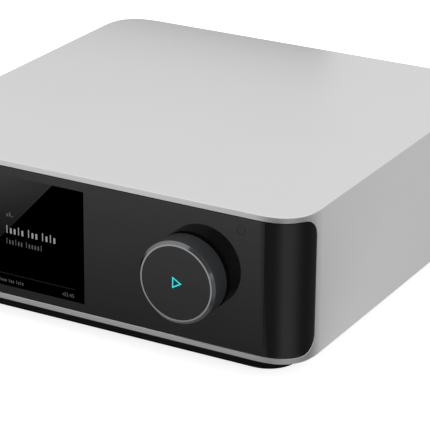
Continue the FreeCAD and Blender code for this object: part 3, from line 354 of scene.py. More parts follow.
glossLooks = {
    "pianoBlack": {
        "colour": (0.0026, 0.0026, 0.0027), "lineColour": (0.0034, 0.0034, 0.0035), "lineShare": 0.5,
        "lineLength": 1.0, "lineWidth": 0.004, "haze": 0.02, "rough": (0.045, 0.060), "bump": 0.02,
        "shine": 0.67,
    },
    "blackGlass": {
        "colour": (0.0030, 0.0030, 0.0031), "lineColour": (0.0080, 0.0080, 0.0081), "lineShare": 0.8,
        "lineLength": 60.0, "lineWidth": 0.0005, "haze": 0.03, "rough": (0.030, 0.040), "bump": 0.0,
        "shine": 0.42,
    },
    "knobGlass": {
        "colour": (0.0055, 0.0055, 0.0056), "lineColour": (0.0100, 0.0100, 0.0101), "lineShare": 0.8,
        "lineLength": 60.0, "lineWidth": 0.0005, "haze": 0.01, "rough": (0.07, 0.10), "bump": 0.0,
        "shine": 0.42,
    },
}
finishes.update({name: glossFinish(name, look) for name, look in glossLooks.items()})


def nodeBox(name):                          # lowest corner, highest corner and middle, in metres
    low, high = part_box(name)
    return low, high, [(a + b) / 2 for a, b in zip(low, high)]


def boxInMm(name):
    return [[part / mm for part in corner] for corner in nodeBox(name)]


def shaded(colour, share):
    return tuple(share * part for part in colour)


# Knob ring: satin charcoal barrel, chamfer that is a little lighter, bright cut rim round the face
knobRingValues = {
    "barrel": (0.0365, 0.0395, 0.0430),
    "chamfer": (0.165, 0.172, 0.180),
    "rim": (0.36, 0.36, 0.36),
    "rimRadius": 16.26 * mm,
    "rimDepth": (0.20 * mm, 0.10 * mm),     # behind the knob's front plane, where the rim's look ends
    "frontBand": 1.05 * mm,                 # chamfer's depth behind the same plane
    "blur": 0.02 * mm,
    "bandBlur": 0.05 * mm,
    "grain": 0.25 * mm,
    "patch": 6.0 * mm,
    "patchShade": 0.92,
    "barrelRough": (0.30, 0.38),
    "rimRough": 0.22,
    "chamferRough": 0.17,
    "bump": (0.10, 0.05 * mm),              # strength and depth, here and below
}


def knobRingFinish(values):
    material, tree, shader = startMaterial("knobRing")
    low, _, middle = nodeBox("knob_ring")
    place = objectPlace(tree, centre=(middle[0], low[1], middle[2]))
    axes = axisValues(tree, place)
    radius = distanceNode(tree, axes[0], axes[2])
    grain = noiseNode(tree, place, values["grain"], 2.0, 0.6)
    patches = noiseNode(tree, place, values["patch"], 3.0)
    inRim = product(tree, rangeNode(tree, radius, values["rimRadius"] + values["blur"],
                                    values["rimRadius"] - values["blur"]),
                    rangeNode(tree, axes[1], *values["rimDepth"]))
    inChamfer = rangeNode(tree, axes[1], values["frontBand"] + values["bandBlur"],
                          values["frontBand"] - values["bandBlur"])
    barrel = mixColours(tree, rangeNode(tree, patches, *cloudSpan), values["barrel"],
                        shaded(values["barrel"], values["patchShade"]))
    colour = mixColours(tree, inRim, mixColours(tree, inChamfer, barrel, values["chamfer"]), values["rim"])
    shine = rangeNode(tree, grain, *grainSpan, *values["barrelRough"])
    for share, level in ((inChamfer, values["chamferRough"]), (inRim, values["rimRough"])):
        shine = blendValues(tree, share, shine, level)
    fillShader(tree, shader, {"Base Color": colour, "Roughness": shine,
                              "Metallic": mathNode(tree, "MAXIMUM", inRim, inChamfer),
                              "Normal": bumpNode(tree, grain, *values["bump"]),
                              "Specular IOR Level": 0.5})
    return material


# Lit things: the play sign and the marks of the display
lightLooks = {
    "signLight": {"colour": (0.004, 0.20, 0.20), "glow": (0.0012, 0.86, 0.86), "rough": (0.4, 0.5)},
    "brightMarks": {"colour": (0.05, 0.05, 0.05), "glow": (0.25, 0.25, 0.25), "rough": (0.5, 0.6)},
    "softMarks": {"colour": (0.03, 0.03, 0.03), "glow": (0.070, 0.070, 0.070), "rough": (0.5, 0.6)},
    "dimMarks": {"colour": (0.02, 0.02, 0.02), "glow": (0.065, 0.065, 0.065), "rough": (0.5, 0.6)},
    "faintMarks": {"colour": (0.004, 0.004, 0.004), "glow": (0.0075, 0.0075, 0.0075), "rough": (0.5, 0.6)},
}
dotValues = {"size": 0.2 * mm, "span": (0.1, 0.7), "shade": 0.7}        # fine cells of a lit face


def lightFinish(name, look):
    material, tree, shader = startMaterial(name)
    dots = cellNode(tree, objectPlace(tree), dotValues["size"])
    colour = mixColours(tree, rangeNode(tree, dots, *dotValues["span"]), look["colour"],
                        shaded(look["colour"], dotValues["shade"]))
    fillShader(tree, shader, {"Base Color": colour,
                              "Emission Color": look["glow"], "Emission Strength": 1.0,
                              "Roughness": rangeNode(tree, dots, *dotValues["span"], *look["rough"]),
                              "Specular IOR Level": 0.1})
    return material


finishes["knobRing"] = knobRingFinish(knobRingValues)
finishes.update({name: lightFinish(name, look) for name, look in lightLooks.items()})


# Receiver's window: dark red-black moulding that passes infrared
receiverValues = {"colour": (0.0050, 0.0038, 0.0039), "second": (0.0040, 0.0032, 0.0033),
                  "cloud": 1.5 * mm, "rough": (0.03, 0.04), "bump": (0.01, 0.1 * mm), "shine": 0.42}


def receiverFinish(values):
    material, tree, shader = startMaterial("receiverLens")
    cloud = noiseNode(tree, objectPlace(tree), values["cloud"], 3.0)
    colour = mixColours(tree, cloud, values["colour"], values["second"])
    fillPattern(tree, shader, values, colour, cloud, cloud, grainSpan)
    return material


finishes["receiverLens"] = receiverFinish(receiverValues)


# Display: black, with painted sheen: a soft grey reflection painted into the base colour above a slanting
# edge, with a painted highlight along that edge
screenValues = {
    "edgeFrom": (62.06 * mm, 51.6 * mm),    # the slanting edge's ends, from the panel's lower left corner
    "edgeTo": (35.26 * mm, 22.7 * mm),
    # painted sheen: its grey level at the top, and at its foot
    "sheen": 0.058,
    "sheenFoot": 0.007,
    "footBelow": 2.0 * mm,                  # where the painted sheen is darkest, under the edge's lower end
    # painted highlight: a brighter line along the slanting edge
    "sheenEdgeLevel": 0.016,
    "edgeWidth": 0.5 * mm,
    "reach": 30.0 * mm,                     # from the edge to where the painted sheen is fully grey
    "nearShare": 0.45,
    "dot": 0.3 * mm,
    "rough": (0.25, 0.35),
}


def screenFinish(name, values):
    material, tree, shader = startMaterial(name)
    low = nodeBox("display_panel")[0]
    axes = axisValues(tree, objectPlace(tree, centre=(low[0], 0, low[2])))
    runX = values["edgeTo"][0] - values["edgeFrom"][0]
    runZ = values["edgeTo"][1] - values["edgeFrom"][1]
    length = math.hypot(runX, runZ)
    fromX = mathNode(tree, "SUBTRACT", axes[0], values["edgeFrom"][0])
    fromZ = mathNode(tree, "SUBTRACT", axes[2], values["edgeFrom"][1])
    across = mathNode(tree, "ADD", product(tree, fromX, runZ / length),
                      product(tree, fromZ, -runX / length))
    # painted sheen: a grey reflection above the slanting edge, weaker near the edge and towards its foot,
    # with a painted highlight along the edge, all in the base colour
    inSheen = rangeNode(tree, across, -hair, hair)
    height = rangeNode(tree, axes[2], values["edgeTo"][1] - values["footBelow"], values["edgeFrom"][1])
    away = rangeNode(tree, across, 0.0, values["reach"], values["nearShare"], 1.0)
    sheen = rangeNode(tree, product(tree, height, away), 0, 1, values["sheenFoot"], values["sheen"])
    sheenLine = product(tree, rangeNode(tree, across, values["edgeWidth"], 0.0),
                   product(tree, height, values["sheenEdgeLevel"]))
    level = product(tree, inSheen, mathNode(tree, "ADD", sheen, sheenLine))
    dots = cellNode(tree, objectPlace(tree), values["dot"])
    shade = addNode(tree, "ShaderNodeCombineColor")
    for index in range(3):
        fillSocket(tree, shade.inputs[index], level)
    fillShader(tree, shader, {"Base Color": shade.outputs[0], "Specular IOR Level": 0.0,
                              "Roughness": rangeNode(tree, dots, *dotValues["span"], *values["rough"])})
    return material


finishes["screen"] = screenFinish("screen", screenValues)


# Circuit board: solder mask with tracks and pads
boardValues = {
    "mask": (0.006, 0.045, 0.024), "track": (0.012, 0.085, 0.044), "pad": (0.62, 0.60, 0.52),
    "trackPitch": 2.6 * mm, "trackShape": {"Mortar Size": 0.10, "Mortar Smooth": 0.2, "Brick Width": 3.2,
                                           "Row Height": 0.55},
    "padPitch": 2.54 * mm, "padRadius": 0.17, "padBlur": 0.04, "padShift": 0.15, "padProud": 1.5,
    "group": 12.0 * mm, "groupSpan": (0.56, 0.58), "cloud": 4.0 * mm, "rough": (0.26, 0.42),
    "bump": (0.25, 0.06 * mm),
}


def boardFinish(values):
    material, tree, shader = startMaterial("boardGreen")
    place = objectPlace(tree)
    tracks = addNode(tree, "ShaderNodeTexBrick", offset=0.5, squash=0.6, squash_frequency=3)
    tree.links.new(place, tracks.inputs["Vector"])
    tracks.inputs["Scale"].default_value = 1.0 / values["trackPitch"]
    for name, value in values["trackShape"].items():
        tracks.inputs[name].default_value = value
    pads = cellNode(tree, place, values["padPitch"], values["padShift"])
    groups = rangeNode(tree, noiseNode(tree, place, values["group"], 1.0), *values["groupSpan"])
    isPad = product(tree, rangeNode(tree, pads, values["padRadius"] + values["padBlur"],
                                    values["padRadius"]), groups)
    mask = mixColours(tree, tracks.outputs["Fac"], values["mask"], values["track"])
    cloud = noiseNode(tree, place, values["cloud"], 2.0)
    height = mathNode(tree, "MULTIPLY_ADD", isPad, values["padProud"], tracks.outputs["Fac"])
    colour = mixColours(tree, isPad, mask, values["pad"])
    fillPattern(tree, shader, values, colour, cloud, height, metal=isPad)
    return material


# Ribbon: amber film over copper tracks that run along it
ribbonValues = {"film": (0.30, 0.105, 0.012), "copper": (0.52, 0.20, 0.045), "pitch": 1.0 * mm,
                "trackSpan": (-0.1, 0.3), "cloud": 3.0 * mm, "rough": (0.22, 0.34),
                "bump": (0.3, 0.04 * mm)}


def ribbonFinish(values):
    material, tree, shader = startMaterial("ribbonAmber")
    place = objectPlace(tree)
    wave = mathNode(tree, "SINE", product(tree, axisValues(tree, place)[0],
                                          2 * math.pi / values["pitch"]))
    track = rangeNode(tree, wave, *values["trackSpan"])
    cloud = noiseNode(tree, place, values["cloud"], 2.0)
    colour = mixColours(tree, track, values["film"], values["copper"])
    fillPattern(tree, shader, values, colour, cloud, track)
    return material


# Transformer: dark ferrite with a taped winding between its yokes
windingValues = {
    "ferrite": (0.030, 0.029, 0.028), "tape": (0.60, 0.44, 0.06), "wire": (0.38, 0.12, 0.035),
    "yokeShare": 0.22, "wirePitch": 0.7 * mm, "wireProud": 0.4, "tapeHalf": 4.0 * mm, "speck": 0.4 * mm,
    "rough": (0.35, 0.55), "bump": (0.35, 0.1 * mm),
}


def windingFinish(name, node, values):
    material, tree, shader = startMaterial(name)
    low, high, middle = (corner[2] for corner in nodeBox(node))
    place = objectPlace(tree)
    level = axisValues(tree, place)[2]
    yoke = (high - low) * values["yokeShare"]
    inWinding = bandShare(tree, level, low + yoke, high - yoke, hair)
    turns = mathNode(tree, "SINE", product(tree, level, 2 * math.pi / values["wirePitch"]))
    taped = bandShare(tree, level, middle - values["tapeHalf"], middle + values["tapeHalf"], 2 * hair)
    wound = mixColours(tree, taped, values["wire"], values["tape"])
    speck = noiseNode(tree, place, values["speck"], 2.0)
    proud = product(tree, inWinding, values["wireProud"])
    height = mathNode(tree, "ADD", product(tree, turns, proud), speck)
    colour = mixColours(tree, inWinding, values["ferrite"], wound)
    fillPattern(tree, shader, values, colour, speck, height, grainSpan)
    return material


# Capacitor cans: dark sleeve with a pale stripe, bare aluminium top
canValues = {"sleeve": (0.030, 0.034, 0.060), "stripe": (0.50, 0.51, 0.52), "top": (0.66, 0.66, 0.67),
             "topSpan": (0.90, 0.95), "stripeSpan": (0.86, 0.87),       # of how far a face looks up or back
             "cloud": 4.0 * mm, "shade": 0.85, "grain": 0.3 * mm, "rough": (0.24, 0.36),
             "bump": (0.08, 0.05 * mm)}


def canFinish(values):
    material, tree, shader = startMaterial("canSleeve")
    coords = addNode(tree, "ShaderNodeTexCoord")
    facing = axisValues(tree, coords.outputs["Normal"])
    cloud = noiseNode(tree, objectPlace(tree), values["cloud"], 3.0)
    isTop = rangeNode(tree, facing[2], *values["topSpan"])
    isStripe = rangeNode(tree, facing[1], *values["stripeSpan"])
    sleeve = mixColours(tree, cloud, values["sleeve"], shaded(values["sleeve"], values["shade"]))
    colour = mixColours(tree, isTop, mixColours(tree, isStripe, sleeve, values["stripe"]), values["top"])
    grain = noiseNode(tree, objectPlace(tree), values["grain"])
    fillPattern(tree, shader, values, colour, cloud, grain, metal=isTop)
    return material


# Mains filter: dark choke on the left, yellow film capacitor on the right, capped glass fuse behind it
filterValues = {"choke": (0.035, 0.034, 0.034), "film": (0.55, 0.36, 0.03), "fuse": (0.50, 0.52, 0.50),
                "cap": (0.66, 0.65, 0.62), "fuseLength": 20.0 * mm, "capLength": 5.0 * mm,
                "cloud": 3.0 * mm, "grain": 0.4 * mm, "rough": (0.28, 0.44), "bump": (0.12, 0.06 * mm)}


def filterFinish(values):
    material, tree, shader = startMaterial("filterParts")
    fuseBack = nodeBox("mains_filter")[1][1]
    fuseFront = fuseBack - values["fuseLength"]
    split = nodeBox("power_board")[2][0]
    place = objectPlace(tree)
    axes = axisValues(tree, place)
    isRight = rangeNode(tree, axes[0], split - hair, split + hair)
    isFuse = product(tree, isRight, rangeNode(tree, axes[1], fuseFront - 2 * hair, fuseFront))
    capEnds = fuseFront + values["capLength"], fuseBack - values["capLength"]
    isCap = product(tree, isFuse,
                    mathNode(tree, "MAXIMUM", rangeNode(tree, axes[1], capEnds[0], capEnds[0] - hair),
                             rangeNode(tree, axes[1], capEnds[1], capEnds[1] + hair)))
    cloud = noiseNode(tree, place, values["cloud"], 3.0)
    colour = mixColours(tree, isRight, values["choke"], values["film"])
    colour = mixColours(tree, isCap, mixColours(tree, isFuse, colour, values["fuse"]), values["cap"])
    grain = noiseNode(tree, place, values["grain"])
    fillPattern(tree, shader, values, colour, cloud, grain, metal=isCap)
    return material


# Plug-in sockets: plated shell round a dark tongue with gilt strips
tongueValues = {
    "shell": (0.62, 0.61, 0.58), "tongue": (0.020, 0.020, 0.021), "gilt": (0.72, 0.50, 0.18),
    "past": (0.06 * mm, 0.03 * mm),         # beyond the tongue's faces, where its look ends
    "root": (1.0 * mm, 1.1 * mm),           # behind which it begins
    "margin": (0.5 * mm, 0.6 * mm),         # bare at the tongue's sides
    "stripSpan": (-0.20, -0.25), "cloud": 3.0 * mm, "grain": 0.3 * mm, "rough": (0.16, 0.30),
    "bump": (0.05, 0.05 * mm),
}


def tongueFinish(name, node, place, values):
    material, tree, shader = startMaterial(name)
    low, _, middle = nodeBox(node)
    vector = objectPlace(tree)
    axes = axisValues(tree, vector)
    fromMiddle = mathNode(tree, "SUBTRACT", axes[0], middle[0])
    offX = mathNode(tree, "ABSOLUTE", fromMiddle)
    offZ = mathNode(tree, "ABSOLUTE", mathNode(tree, "SUBTRACT", axes[2], low[2] + place["rise"]))
    isTongue = rangeNode(tree, axes[1], *[low[1] + reach for reach in values["root"]])
    for off, half in ((offX, place["half"]), (offZ, place["thick"])):
        isTongue = product(tree, isTongue,
                           rangeNode(tree, off, *[half + past for past in values["past"]]))
    strips = mathNode(tree, "COSINE", product(tree, fromMiddle, 2 * math.pi / place["pitch"]))
    isStrip = product(tree, isTongue, rangeNode(tree, strips, *values["stripSpan"]))
    isStrip = product(tree, isStrip,
                      rangeNode(tree, offX, *[place["half"] - bare for bare in values["margin"]]))
    cloud = noiseNode(tree, vector, values["cloud"], 3.0)
    colour = mixColours(tree, isStrip, mixColours(tree, isTongue, values["shell"], values["tongue"]),
                        values["gilt"])
    metal = mathNode(tree, "MAXIMUM", isStrip, mathNode(tree, "SUBTRACT", 1.0, isTongue))
    grain = noiseNode(tree, vector, values["grain"])
    fillPattern(tree, shader, values, colour, cloud, grain, metal=metal)
    return material


tonguePlaces = {
    "usb_socket": {"rise": 4.4 * mm, "thick": 0.9 * mm, "half": 5.4 * mm, "pitch": 2.5 * mm},
    "hdmi_socket": {"rise": 2.8 * mm, "thick": 0.3 * mm, "half": 6.3 * mm, "pitch": 0.5 * mm},
}
finishes["boardGreen"] = boardFinish(boardValues)
finishes["ribbonAmber"] = ribbonFinish(ribbonValues)
finishes["transformerParts"] = windingFinish("transformerParts", "transformer", windingValues)
finishes["canSleeve"] = canFinish(canValues)
finishes["filterParts"] = filterFinish(filterValues)
for name, place in tonguePlaces.items():
    finishes[name] = tongueFinish(name + "Finish", name, place, tongueValues)
print("finishes made")


# Studio: pale floor, white surroundings, one soft lamp, and a ground and sky for mirrored rays alone
studio = {
    "floorSize": 6.0,
    "floorLevel": -0.00005,
    "floorColour": (0.80, 0.80, 0.80),
    "floorGlow": 0.74,              # lifts the floor's own grey to white where the camera sees it
    "floorCloud": 0.4,
    "floorShade": 0.99,
    "corner": (0.093, -0.093),      # the ring of levels turns round this point
    "frontPlane": -0.100,
    "frontNear": 0.27,              # mirrored level of the ground at the front plane
    "frontRise": 4.2,               # and how fast it rises, per metre
    "frontLimits": (0.30, 1.22),
    "frontFrom": (-95, -80),        # degrees round the corner where that level sets in
    "frontTo": (-14, -27),          # and where it ends
    "skyForLight": 0.88,
    "skyLow": 0.74,                 # mirrored level of the surroundings at the horizon
    "skyHigh": 1.10,
    "skyHighAt": 35.0,              # degrees
    "skyFront": 0.97,               # share of it over the front
    "skyFrontSpan": (-0.25, 0.15),
    "zenithShare": 0.72,            # share of the mirrored level straight above
    "zenithSpan": (0.86, 0.97),
    "closest": (0.027, 0.037),      # from the corner: an even level inside, the ring of levels outside
    "closestLevel": 0.42,
    "closestTo": (135, 145),        # degrees where the even level ends
    "near": (0.175, 0.24),          # from the corner, where the far level takes over
    "farFrom": (75, 105),           # past these degrees
    "farLevel": 0.79,
    "keyPlace": (-0.20, 0.35, 1.60),
    "keyTarget": (0, 0, 0.04),
    "keySize": 1.6,
    "keyPower": 4.0,
}
flags = {                           # cards that only mirrored rays see
    "knobFlag": {"place": (0.120, -0.171, 0.0775), "size": (0.156, 0.052), "turns": (0, 0, -30.6),
                 "level": 0.22, "cloud": 0.02, "rough": (0.8, 0.9)},
    "topFlag": {"place": (-0.120, 0.150, 0.0860), "size": (0.215, 0.040), "turns": (90, 0, 0),
                "level": 0.45, "cloud": 0.02, "rough": (0.8, 0.9)},
}
groundRing = [                      # mirrored level of the ground by angle round the front right corner
    (-180, 0.80), (-105, 0.80), (-92, 0.50), (-30, 0.32), (-14, 0.105), (0, 0.135), (7, 0.18), (19, 0.32),
    (31, 0.45), (43, 0.45), (55, 0.43), (67, 0.35), (80, 0.22), (90, 0.15), (101, 0.105), (124, 0.09),
    (137, 0.135), (145, 0.70), (150, 0.92), (180, 0.70),
]


def rayShares(tree):                        # camera and see-through rays, and mirrored rays
    path = addNode(tree, "ShaderNodeLightPath")
    seen = mathNode(tree, "MAXIMUM", path.outputs["Is Camera Ray"], path.outputs["Is Transmission Ray"])
    return seen, path.outputs["Is Glossy Ray"]


def turnShare(tree, angle, turns, soft=True):       # from 0 at one turn to 1 at the other, in degrees
    return rangeNode(tree, angle, *[math.radians(turn) for turn in turns], soft=soft)


def groundLevel(tree, values):
    axes = axisValues(tree, objectPlace(tree))
    fromX = mathNode(tree, "SUBTRACT", axes[0], values["corner"][0])
    fromY = mathNode(tree, "SUBTRACT", values["corner"][1], axes[1])
    angle = mathNode(tree, "ARCTAN2", fromX, fromY)
    ring = addNode(tree, "ShaderNodeValToRGB")
    steps = ring.color_ramp.elements
    for number, (turn, level) in enumerate(groundRing):
        step = steps[number] if number < 2 else steps.new(1.0)
        step.position = (turn + 180) / 360
        step.color = (level, level, level, 1.0)
    fillSocket(tree, ring.inputs["Fac"], rangeNode(tree, angle, -math.pi, math.pi))
    forward = mathNode(tree, "SUBTRACT", values["frontPlane"], axes[1])
    front = mathNode(tree, "MULTIPLY_ADD", forward, values["frontRise"], values["frontNear"])
    least, most = values["frontLimits"]
    front = mathNode(tree, "MAXIMUM", mathNode(tree, "MINIMUM", front, most), least)
    inFront = product(tree, turnShare(tree, angle, values["frontFrom"]),
                      turnShare(tree, angle, values["frontTo"]))
    distance = distanceNode(tree, fromX, fromY)
    outside = mathNode(tree, "MAXIMUM", rangeNode(tree, distance, *values["closest"], soft=True),
                       turnShare(tree, angle, values["closestTo"], soft=False))
    around = blendValues(tree, outside, values["closestLevel"], ring.outputs["Color"])
    close = blendValues(tree, inFront, around, front)
    far = product(tree, rangeNode(tree, distance, *values["near"], soft=True),
                  turnShare(tree, angle, values["farFrom"]))
    return blendValues(tree, far, close, values["farLevel"])


def makeFloor(values):
    bpy.ops.object.select_all(action="DESELECT")
    bpy.ops.mesh.primitive_plane_add(size=values["floorSize"], location=(0, 0, values["floorLevel"]))
    floor = bpy.context.active_object
    floor.name = "floor"
    material, tree, shader = startMaterial("paleFloor")
    place = objectPlace(tree)
    seen, mirrored = rayShares(tree)
    colour = mixColours(tree, noiseNode(tree, place, values["floorCloud"]), values["floorColour"],
                        shaded(values["floorColour"], values["floorShade"]))
    glow = mathNode(tree, "ADD", product(tree, seen, values["floorGlow"]),
                    product(tree, mirrored, groundLevel(tree, values)))
    fillShader(tree, shader, {"Base Color": mixColours(tree, mirrored, colour, (0, 0, 0)), "Roughness": 0.9,
                              "Specular IOR Level": 0.0, "Emission Color": (1.0, 1.0, 1.0),
                              "Emission Strength": glow})
    clear = addNode(tree, "ShaderNodeBsdfTransparent")
    either = addNode(tree, "ShaderNodeMixShader")
    geometry = addNode(tree, "ShaderNodeNewGeometry")
    tree.links.new(geometry.outputs["Backfacing"], either.inputs[0])
    tree.links.new(shader.outputs[0], either.inputs[1])
    tree.links.new(clear.outputs[0], either.inputs[2])
    tree.links.new(either.outputs[0], tree.nodes["Material Output"].inputs["Surface"])
    floor.data.materials.append(material)


def makeFlag(name, values):
    bpy.ops.object.select_all(action="DESELECT")
    bpy.ops.mesh.primitive_plane_add(size=1.0, location=values["place"],
                                     rotation=[math.radians(turn) for turn in values["turns"]])
    flag = bpy.context.active_object
    flag.name = name
    flag.scale = (*values["size"], 1)
    bpy.ops.object.transform_apply(location=True, rotation=True, scale=True)
    material, tree, shader = startMaterial(name + "Card")
    cloud = noiseNode(tree, objectPlace(tree), values["cloud"])
    fillShader(tree, shader, {"Base Color": (0, 0, 0),
                              "Roughness": rangeNode(tree, cloud, *grainSpan, *values["rough"]),
                              "Specular IOR Level": 0.0, "Emission Color": (1.0, 1.0, 1.0),
                              "Emission Strength": values["level"]})
    flag.data.materials.append(material)
    flag.visible_camera = flag.visible_diffuse = flag.visible_shadow = False
    flag.visible_transmission = flag.visible_volume_scatter = False


def makeWorld(values):
    world = bpy.data.worlds.new("studio")
    bpy.context.scene.world = world
    world.use_nodes = True
    tree = world.node_tree
    tree.nodes.clear()
    output = addNode(tree, "ShaderNodeOutputWorld")
    back = addNode(tree, "ShaderNodeBackground")
    back.inputs["Color"].default_value = (1, 1, 1, 1)
    seen, mirrored = rayShares(tree)
    coords = addNode(tree, "ShaderNodeTexCoord")
    directions = axisValues(tree, coords.outputs["Generated"])
    sky = rangeNode(tree, directions[2], 0.0, math.sin(math.radians(values["skyHighAt"])),
                    values["skyLow"], values["skyHigh"])
    for share in (rangeNode(tree, directions[1], *values["skyFrontSpan"], values["skyFront"], 1.0),
                  rangeNode(tree, directions[2], *values["zenithSpan"], 1.0, values["zenithShare"])):
        sky = product(tree, sky, share)
    plain = mathNode(tree, "SUBTRACT", 1.0, mathNode(tree, "MAXIMUM", seen, mirrored))
    strength = mathNode(tree, "MULTIPLY_ADD", plain, values["skyForLight"],
                        mathNode(tree, "MULTIPLY_ADD", mirrored, sky, seen))
    tree.links.new(strength, back.inputs["Strength"])
    tree.links.new(back.outputs[0], output.inputs["Surface"])


def makeLamp(name, place, target, size, power):
    lamp = bpy.data.lights.new(name, "AREA")
    lamp.shape = "SQUARE"
    lamp.size = size
    lamp.energy = power
    holder = bpy.data.objects.new(name, lamp)
    holder.location = place
    holder.rotation_euler = (Vector(target) - Vector(place)).to_track_quat("-Z", "Y").to_euler()
    bpy.context.scene.collection.objects.link(holder)


makeFloor(studio)
for name, values in flags.items():
    makeFlag(name, values)
makeWorld(studio)
makeLamp("keyLamp", studio["keyPlace"], studio["keyTarget"], studio["keySize"], studio["keyPower"])
bpy.context.scene.view_settings.view_transform = "Standard"
print("studio set")


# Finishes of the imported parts
finishNodes = {
    "bodyAluminium": ["shell"],
    "pianoBlack": ["front_fascia"],
    "blackGlass": ["front_glass"],
    "chipBlack": ["display_panel", "push_switches", "main_chips"],
    "zincSheet": ["display_bracket", "knob_carrier", "knob_bracket", "knob_yoke", "screw_lugs",
                  "board_screws"],
    "ribbonAmber": ["display_flex"],
    "receiverLens": ["ir_receiver"],
    "knobRing": ["knob_ring"],
    "knobGlass": ["knob_face"],
    "signLight": ["play_icon"],
    "plungerBrown": ["switch_plunger"],
    "boardGreen": ["main_board", "power_board", "jack_board", "knob_board", "antennas"],
    "whiteMoulding": ["board_headers", "rca_insulator_white"],
    "sinkAluminium": ["heat_sink"],
    "coilGrey": ["filter_coils"],
    "transformerParts": ["transformer"],
    "canSleeve": ["capacitors"],
    "filterParts": ["mains_filter"],
    "socketBlack": ["mains_inlet", "ethernet_socket", "optical_socket", "trigger_jack"],
    "nickelPlate": ["mains_pins", "rca_contacts", "post_studs"],
    "usb_socket": ["usb_socket"],
    "hdmi_socket": ["hdmi_socket"],
    "redMoulding": ["rca_insulator_red", "post_collars_red", "post_cap_1", "post_cap_3", "post_clamp_1",
                    "post_clamp_3"],
    "blackMoulding": ["rca_insulator_black", "post_collars_black", "post_cap_2", "post_cap_4",
                      "post_clamp_2", "post_clamp_4"],
    "screwSteel": ["case_screws"],
    "rubberPadAndShade": ["base_pad"],
    "baseBlackAndShade": ["base_plinth"],
    "matteBlack": ["rear_panel", "rear_frame", "optical_shutter", "encoder_housing", "encoder_rotor"],
    "buttonGrey": ["pairing_button"],
}
for finish, names in finishNodes.items():
    for name in names:
        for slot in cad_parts[name].material_slots:
            slot.material = finishes[finish]
print("packed parts finished")


# Ways to shape the new pieces
cornerSteps = 4             # flats in a plate's round corner


def pickOnly(*pieces):
    bpy.ops.object.select_all(action="DESELECT")
    for piece in pieces:
        piece.select_set(True)
    bpy.context.view_layer.objects.active = pieces[0]


def startPlane(name, place, size):          # upright rectangle in edit mode, selected all over
    bpy.ops.object.select_all(action="DESELECT")
    bpy.ops.mesh.primitive_plane_add(size=1.0, location=[part * mm for part in place],
                                     rotation=(math.radians(90), 0, 0))
    plane = bpy.context.active_object
    plane.name = name
    plane.scale = (size[0] * mm, size[1] * mm, 1)
    bpy.ops.object.transform_apply(location=True, rotation=True, scale=True)
    bpy.ops.object.mode_set(mode="EDIT")
    bpy.ops.mesh.select_all(action="SELECT")
    return plane


def closeMesh():                            # faces turned outwards, edit mode left
    bpy.ops.mesh.select_all(action="SELECT")
    bpy.ops.mesh.normals_make_consistent(inside=False)
    bpy.ops.object.mode_set(mode="OBJECT")


def addPlate(name, left, right, low, high, front, back, corner):        # upright plate with round corners
    plate = startPlane(name, ((left + right) / 2, front, (low + high) / 2), (right - left, high - low))
    bpy.ops.mesh.bevel(offset=corner * mm, segments=cornerSteps, affect="VERTICES")
    bpy.ops.mesh.select_all(action="SELECT")
    bpy.ops.mesh.extrude_region_move(TRANSFORM_OT_translate={"value": (0, (back - front) * mm, 0)})
    closeMesh()
    return plate


def joinPieces(name, pieces):
    pickOnly(*pieces)
    if len(pieces) > 1:
        bpy.ops.object.join()
    piece = bpy.context.active_object
    piece.name = name
    return piece


def dressPiece(piece, body, finish):
    piece.data.materials.clear()
    piece.data.materials.append(finishes[finish])
    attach(piece, body)


# Display: dark pane over the lit area, with rows of plain plates; all in millimetres
displayValues = {           # marks stand from the lit area's lower left corner
    "border": (2.4, 1.5),       # dark edge of the display panel, at its sides and at its foot and top
    "pane": (-0.02, 0.30),      # front and back, from the glass's front
    "paneCorner": 0.25,
    "marks": (-0.04, 0.10),     # the same of the marks
    "badge": {"start": 36.36, "pitch": 1.3, "width": 0.8, "foot": 31.5, "tops": (32.7, 33.4, 32.1),
              "corner": 0.2},
    "progress": (2.66, 69.86, 5.35, 5.65),      # left, right, foot and top
    "progressCorner": 0.1,
    "cornerShare": 0.3,         # of a row plate's width
    "groupGap": 0.6,            # of a row's pitch
    "tallEvery": 5,             # tall plates, besides each group's first
    "clock": "-02:45",
    "clockPlace": (63.16, 1.65),
    "clockSize": 2.45,
    "clockProud": 0.01,
}
rowValues = {               # low and tall are heights, width and slim widths, groups the plates in each
    "titleMarks": {"start": 36.06, "foot": 24.0, "low": 2.5, "tall": 3.5, "pitch": 1.92, "width": 0.92,
                   "slim": 0.46, "groups": (5, 3, 4), "finish": "brightMarks"},
    "secondMarks": {"start": 36.06, "foot": 19.2, "low": 1.9, "tall": 2.6, "pitch": 1.47, "width": 0.62,
                    "slim": 0.30, "groups": (6, 6), "finish": "softMarks"},
    "lowerMarks": {"start": 8.66, "foot": 1.7, "low": 1.1, "tall": 1.5, "pitch": 1.02, "width": 0.52,
                   "slim": 0.28, "groups": (4, 6, 1, 5, 1, 7, 3, 4), "finish": "softMarks"},
}


def litArea(values):                        # left, right, foot and top
    low, high, _ = boxInMm("display_panel")
    aside, above = values["border"]
    return low[0] + aside, high[0] - aside, low[2] + above, high[2] - above


def glassPlanes(offsets):
    return [boxInMm("front_glass")[0][1] + offset for offset in offsets]


def makeMark(name, left, right, foot, top, corner, values):
    litLeft, _, litFoot, _ = litArea(values)
    return addPlate(name, litLeft + left, litLeft + right, litFoot + foot, litFoot + top,
                    *glassPlanes(values["marks"]), corner)


def copyPiece(piece, shift):
    pickOnly(piece)
    bpy.ops.object.duplicate(linked=False)
    copy = bpy.context.active_object
    copy.location = shift
    return copy


